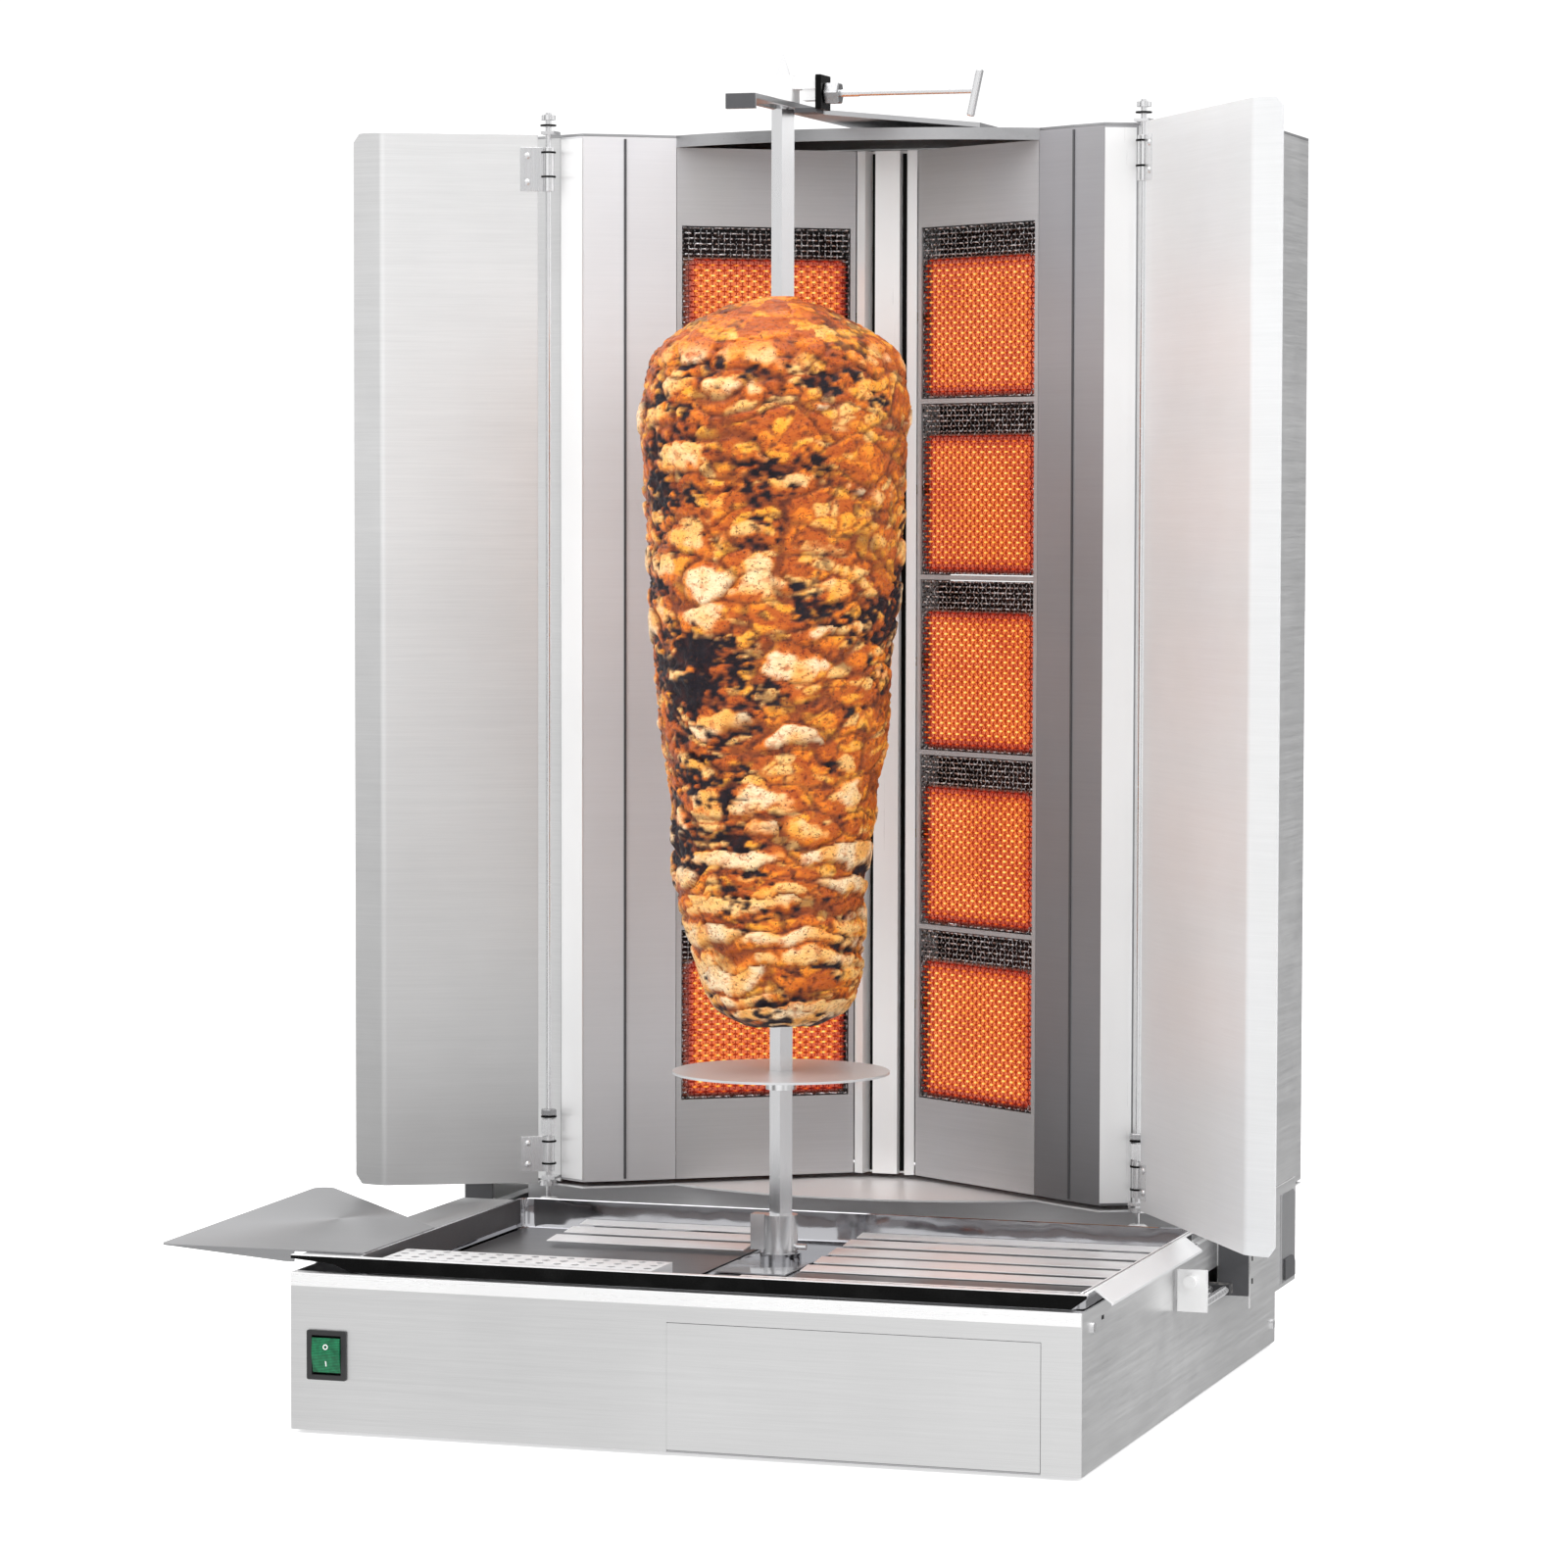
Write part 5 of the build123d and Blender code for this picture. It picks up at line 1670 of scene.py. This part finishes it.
@dataclass
class TopClamp:
    """Clamp sheet, hexagon nut and shoe of the top bearing, and the end cap of its arm."""

    back: float = 0.257
    x: Pair = (0.031, 0.036)
    z: Pair = (1.0430, 1.0705)
    screw_z: float = 1.056
    nut_reach: Pair = (0.0031, 0.0080)
    nut_length: float = 0.0125

    def nut(self) -> Object:
        """Chamfered hexagon nut with its bore along X."""
        bore, flat = self.nut_reach
        steps = 48
        rings = []
        work = bmesh.new()
        start, end = self.x[1], self.x[1] + self.nut_length
        for x, share in ((start, 0.90), (start + 0.0010, 1.0), (end - 0.0010, 1.0), (end, 0.90)):
            ring = []
            for k in range(steps):
                turn = 2 * math.pi * k / steps
                reach = flat / math.cos((turn % (math.pi / 3)) - math.pi / 6) * share
                ring.append(work.verts.new(plan(x, self.back + reach * math.cos(turn),
                                                self.screw_z + reach * math.sin(turn))))
            rings.append(ring)
        for x in (end, start):
            rings.append([work.verts.new(plan(x, self.back + u, self.screw_z + v))
                          for u, v in round_points(bore, steps)])
        for near, far in zip(rings, rings[1:] + rings[:1]):
            bridge(work, near, far)
        return from_bmesh("clamp_nut", work, FINISH.turned)

    def build(self) -> None:
        """Make the clamp's pieces and put them in place of the plain clamp."""
        b, (low, high), (x0, x1) = self.back, self.z, self.x
        sheet = plate("clamp_sheet", box(b - 0.013, low, b + 0.013, high), Along.X, x0, x1 - x0,
                      FINISH.enamel, 0.0006)
        settle(sheet, "bearing", "dark_steel", "clamp_plate")
        settle(self.nut(), "bearing", "hardware_steel")
        shoe = box(0.013, 1.0405, x0, 1.0444)
        settle(plate("clamp_shoe", shoe, Along.Y, b - 0.010, 0.020, FINISH.grey, 0.0004),
               "bearing", "dark_steel")
        cap = box(-0.0122, 1.0372, 0.0122, 1.0490)
        root_plate("dark_steel", "arm_end_cap", cap, Along.Y, 0.1488, 0.0011, FINISH.grey)


@dataclass
class BaseTrim:
    """Folded band over the front panel, foot faces, black insets that paint the shade in slots, and the
    brackets behind the feet.
    """

    half: float = 0.3195
    foot_x: float = 0.348

    def build(self) -> None:
        """Make the trim of the base."""
        band = box(-self.half, 0.1165, self.half, 0.1268)
        root_plate("bright_strip", "front_band", band, Along.Y, -0.0011, 0.0010, FINISH.band)
        # Painted shade: a black inset stands for the shade inside the slot.
        slot = box(0.058, 0.1135, 0.064, 0.1165)
        root_plate("dark_steel", "side_slot", slot, Along.X, 0.3200, 0.0003, FINISH.enamel, 0.0)
        bracket = [(0.552, 0.070), (0.604, 0.070), (0.604, 0.142), (0.596, 0.146), (0.552, 0.146)]
        latch = [(0.560, 0.072), (0.598, 0.072), (0.598, 0.084), (0.590, 0.090), (0.560, 0.090)]
        for side in Side:
            sign, word = side.value, side.word
            x0, x1 = sorted((sign * 0.3210, sign * 0.3466))
            face = box(x0, 0.0762, x1, 0.1530)
            root_plate("dark_steel", f"foot_face_{word}", face, Along.Y, 0.4384, 0.0012, FINISH.grey)
            out = self.foot_x if sign > 0 else -self.foot_x - 0.0004
            # Painted shade: black insets stand for the shade inside the foot's slots.
            for k, z in enumerate((0.088, 0.107)):
                mark = box(0.4450, z - 0.0022, 0.4475, z + 0.0022)
                root_plate("dark_steel", f"foot_slot_{word}_{k + 1}", mark, Along.X, out, 0.0004,
                           FINISH.enamel, 0.0)
            out = self.foot_x if sign > 0 else -self.foot_x - 0.0014
            root_plate("housing_steel", f"foot_bracket_{word}", bracket, Along.X, out, 0.0014, FINISH.flat)
            out = self.foot_x + 0.0014 if sign > 0 else -self.foot_x - 0.0034
            root_plate("hardware_steel", f"foot_latch_{word}", latch, Along.X, out, 0.0020,
                       FINISH.grey, 0.0005)


@dataclass
class SwitchMarks:
    """The plain I and O marks on the rocker."""

    centre: Pair = (-0.289, 0.063)
    size: float = 0.0042

    def build(self) -> None:
        """Raise a bar and a ring on the rocker's face."""
        work = bmesh.new()
        x, z = self.centre
        bar = bmesh.ops.create_cube(work, size=1.0)
        place = Matrix.Translation(plan(x, -0.0031, z - 0.0065)) @ Matrix.Rotation(math.radians(13), 4, "X")
        bmesh.ops.transform(work, matrix=place @ Matrix.Diagonal((0.0008, 0.0003, self.size, 1.0)),
                            verts=bar["verts"])
        place = Matrix.Translation(plan(x, -0.0041, z + 0.0068)) @ Matrix.Rotation(math.radians(-5), 4, "X")
        rings = [[work.verts.new(place @ Vector((u, y, v))) for u, v in round_points(radius, 28)]
                 for radius in (self.size * 0.5, self.size * 0.5 - 0.0007) for y in (-0.00015, 0.00015)]
        for near, far in ((0, 2), (0, 1), (1, 3), (2, 3)):
            bridge(work, rings[near], rings[far])
        settle(from_bmesh("rocker_marks", work, FINISH.white), "rocker", "green_lens")


@dataclass
class Studio:
    """Pale floor, soft lights and the camera."""

    eye: Point = (1.2771, -3.9920, 0.7295)
    heading: float = 18.023
    dip: float = 3.153
    lean: float = 0.116
    lens: float = 117.35
    reach: float = 30.0
    level: float = 1.12
    panels: tuple[tuple[Pair, float, float, float], ...] = (
        ((-0.625, -0.778), 20.0, 1.0, 0.10), ((0.576, -0.816), 16.0, 0.9, 0.42),
        ((0.95, -0.30), 16.0, 0.8, 0.35), ((-1.0, 0.10), 20.0, 0.8, 0.30),
        ((0.305, 0.952), 26.0, 1.0, 0.26), ((-0.305, 0.952), 17.0, 0.95, 0.06))

    def camera(self) -> None:
        """Place the camera."""
        data = bpy.data.cameras.new("camera")
        data.lens = self.lens
        data.sensor_width = 36.0
        data.clip_end = 60.0
        made = bpy.data.objects.new("camera", data)
        turn = Matrix.Rotation(math.radians(self.heading), 4, "Z") \
            @ Matrix.Rotation(math.radians(90.0 - self.dip), 4, "X") \
            @ Matrix.Rotation(math.radians(self.lean), 4, "Z")
        made.matrix_world = Matrix.Translation(self.eye) @ turn
        bpy.context.collection.objects.link(made)
        bpy.context.scene.camera = made

    def floor(self) -> None:
        """Lay the floor."""
        half = self.reach
        corners = [(x, y, 0) for x, y in box(-half, -half, half, half)]
        made = new_object("studio_floor", corners, [(0, 1, 2, 3)], FINISH.floor)
        made.visible_glossy = False

    def light(self, name: str, place: Point, aim: Point, size: Pair, power: float,
              mirrored: bool = False) -> None:
        """Hang one soft box.

        Args:
            name: Light name.
            place: Where it hangs.
            aim: What it points at.
            size: Width and height.
            power: Watts.
            mirrored: Whether metal reflects it.
        """
        data = bpy.data.lights.new(name, "AREA")
        data.shape = "RECTANGLE"
        data.size, data.size_y = size
        data.energy = power
        made = bpy.data.objects.new(name, data)
        made.location = place
        aim_line = Vector(aim) - Vector(place)
        made.rotation_euler = aim_line.to_track_quat("-Z", "Y").to_euler()
        made.visible_glossy = mirrored
        bpy.context.collection.objects.link(made)

    def flag(self, graph: Graph, way: Socket, aim: Pair, width: float) -> Socket:
        """Mask of a soft upright panel in the room.

        Args:
            graph: World's graph.
            way: Direction looked at.
            aim: Plan direction of the panel.
            width: Half width of the panel in degrees.

        Returns:
            1 in the middle of the panel, 0 away from it.
        """
        length = math.hypot(*aim)
        dot = graph.node("VectorMath", operation="DOT_PRODUCT")
        graph.line_up(dot, way, (aim[0] / length, aim[1] / length, 0.0))
        edge = math.cos(math.radians(width))
        core = math.cos(math.radians(width * 0.45))
        return graph.span(dot.outputs["Value"], edge, core)

    def world(self) -> None:
        """White surroundings for the eye, and a soft tent with darker panels for reflections."""
        made = bpy.data.worlds.new("studio")
        bpy.context.scene.world = made
        made.use_nodes = True
        made.node_tree.nodes.clear()
        graph = Graph(made.node_tree)
        way = graph.node("TexCoord").outputs["Generated"]
        tone = graph.ramp(graph.span(graph.height_of(way), -0.4, 1.0),
                          [(0.0, (0.74, 0.74, 0.74)), (0.26, (0.94, 0.94, 0.94)), (0.42, (0.98, 0.98, 0.98)),
                           (0.70, WHITE), (1.0, (0.84, 0.84, 0.84))])
        for aim, width, share, shade in self.panels:
            mask = graph.times(self.flag(graph, way, aim, width), share)
            tone = graph.mix(mask, tone, (shade, shade, shade * 1.01))
        seen = graph.node("LightPath").outputs["Is Camera Ray"]
        tone = graph.mix(seen, tone, WHITE)
        back = graph.node("Background", Color=tone, Strength=self.level)
        out = graph.node("OutputWorld")
        graph.tree.links.new(back.outputs[0], out.inputs[0])

    def build(self) -> None:
        """Set up the studio."""
        self.camera()
        self.floor()
        self.world()
        self.light("key", (-2.4, -3.0, 2.4), (0.0, 0.0, 0.6), (1.6, 2.2), 55.0)
        self.light("fill", (3.0, -1.8, 1.9), (0.0, 0.0, 0.5), (1.2, 2.2), 26.0)
        self.light("top", (0.0, -0.4, 3.0), (0.0, 0.0, 0.5), (2.4, 1.8), 34.0, True)
        bpy.context.scene.view_settings.view_transform = "Standard"


@dataclass
class MetalParts:
    """Finishes of the CAD nodes that stay as they are."""

    def build(self) -> None:
        """Dress every remaining node."""
        f = FINISH
        dress(f.housing, "base_front_panel", "base_side_left", "base_side_right", "base_back_panel",
              "drawer_front", "tower_feet", "tower_back_cover", "tower_side_left", "tower_side_right",
              "shelf_bracket")
        dress(f.flat, "base_floor", "base_deck", "drawer_tray", "drawer_runners", "tower_cap", "support_arm")
        # Painted light: the tower's base plate takes the brighter level-sheet steel, so that it reads lit and
        # not as the dark panel it mirrors.
        dress(f.level, "tower_base_plate")
        dress(f.shelf, "side_shelf")
        dress(f.mirror, "slot_cover")
        dress(f.reflector, "reflector_left")
        # The right reflector takes the darker copy, which paints its shade.
        dress(f.shaded, "reflector_right")
        dress(f.disc, "meat_disc")
        dress(f.blank, "burner_frame_left", "burner_frame_right")
        dress(f.strip, "centre_strip", "bearing_block", "adjuster_grip")
        dress(f.bar, "spit_bar", "drive_socket", "spit_collar")
        dress(f.hardware, "hinge_rod_left", "hinge_rod_right", "hinge_lugs", "housing_screws", "clamp_screw",
              "adjuster_rods")
        dress(f.dark, "carriage_rails", "motor_carriage", "burner_plenums")
        dress(f.cast, "spit_gearbox", "spit_motor")
        dress(f.brass, "gas_manifold")
        dress(f.black, "switch_bezel", "power_gland", *[f"gas_knob_{i}" for i in range(1, 6)])
        dress(f.green, "switch_rocker")
        dress(f.rubber, "rubber_feet")
        LOG.info("metal parts dressed")


def main() -> None:
    """Build the grill's looks in order."""
    logging.basicConfig(level=logging.INFO, format="%(name)s: %(message)s")
    random.seed(SEED)
    noise.seed_set(SEED)
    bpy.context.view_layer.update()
    assemblies = [
        MetalParts(),
        Wing(Side.LEFT, 0.141, 63.5),
        Wing(Side.RIGHT, 0.263, 32.5),
        BurnerColumn(Side.LEFT),
        BurnerColumn(Side.RIGHT),
        RoastCone(),
        DripPan(),
        TowerTrim(),
        HingeFittings(),
        TopClamp(),
        BaseTrim(),
        SwitchMarks(),
        Studio(),
    ]
    for assembly in assemblies:
        assembly.build()


if __name__ == "__main__":
    main()
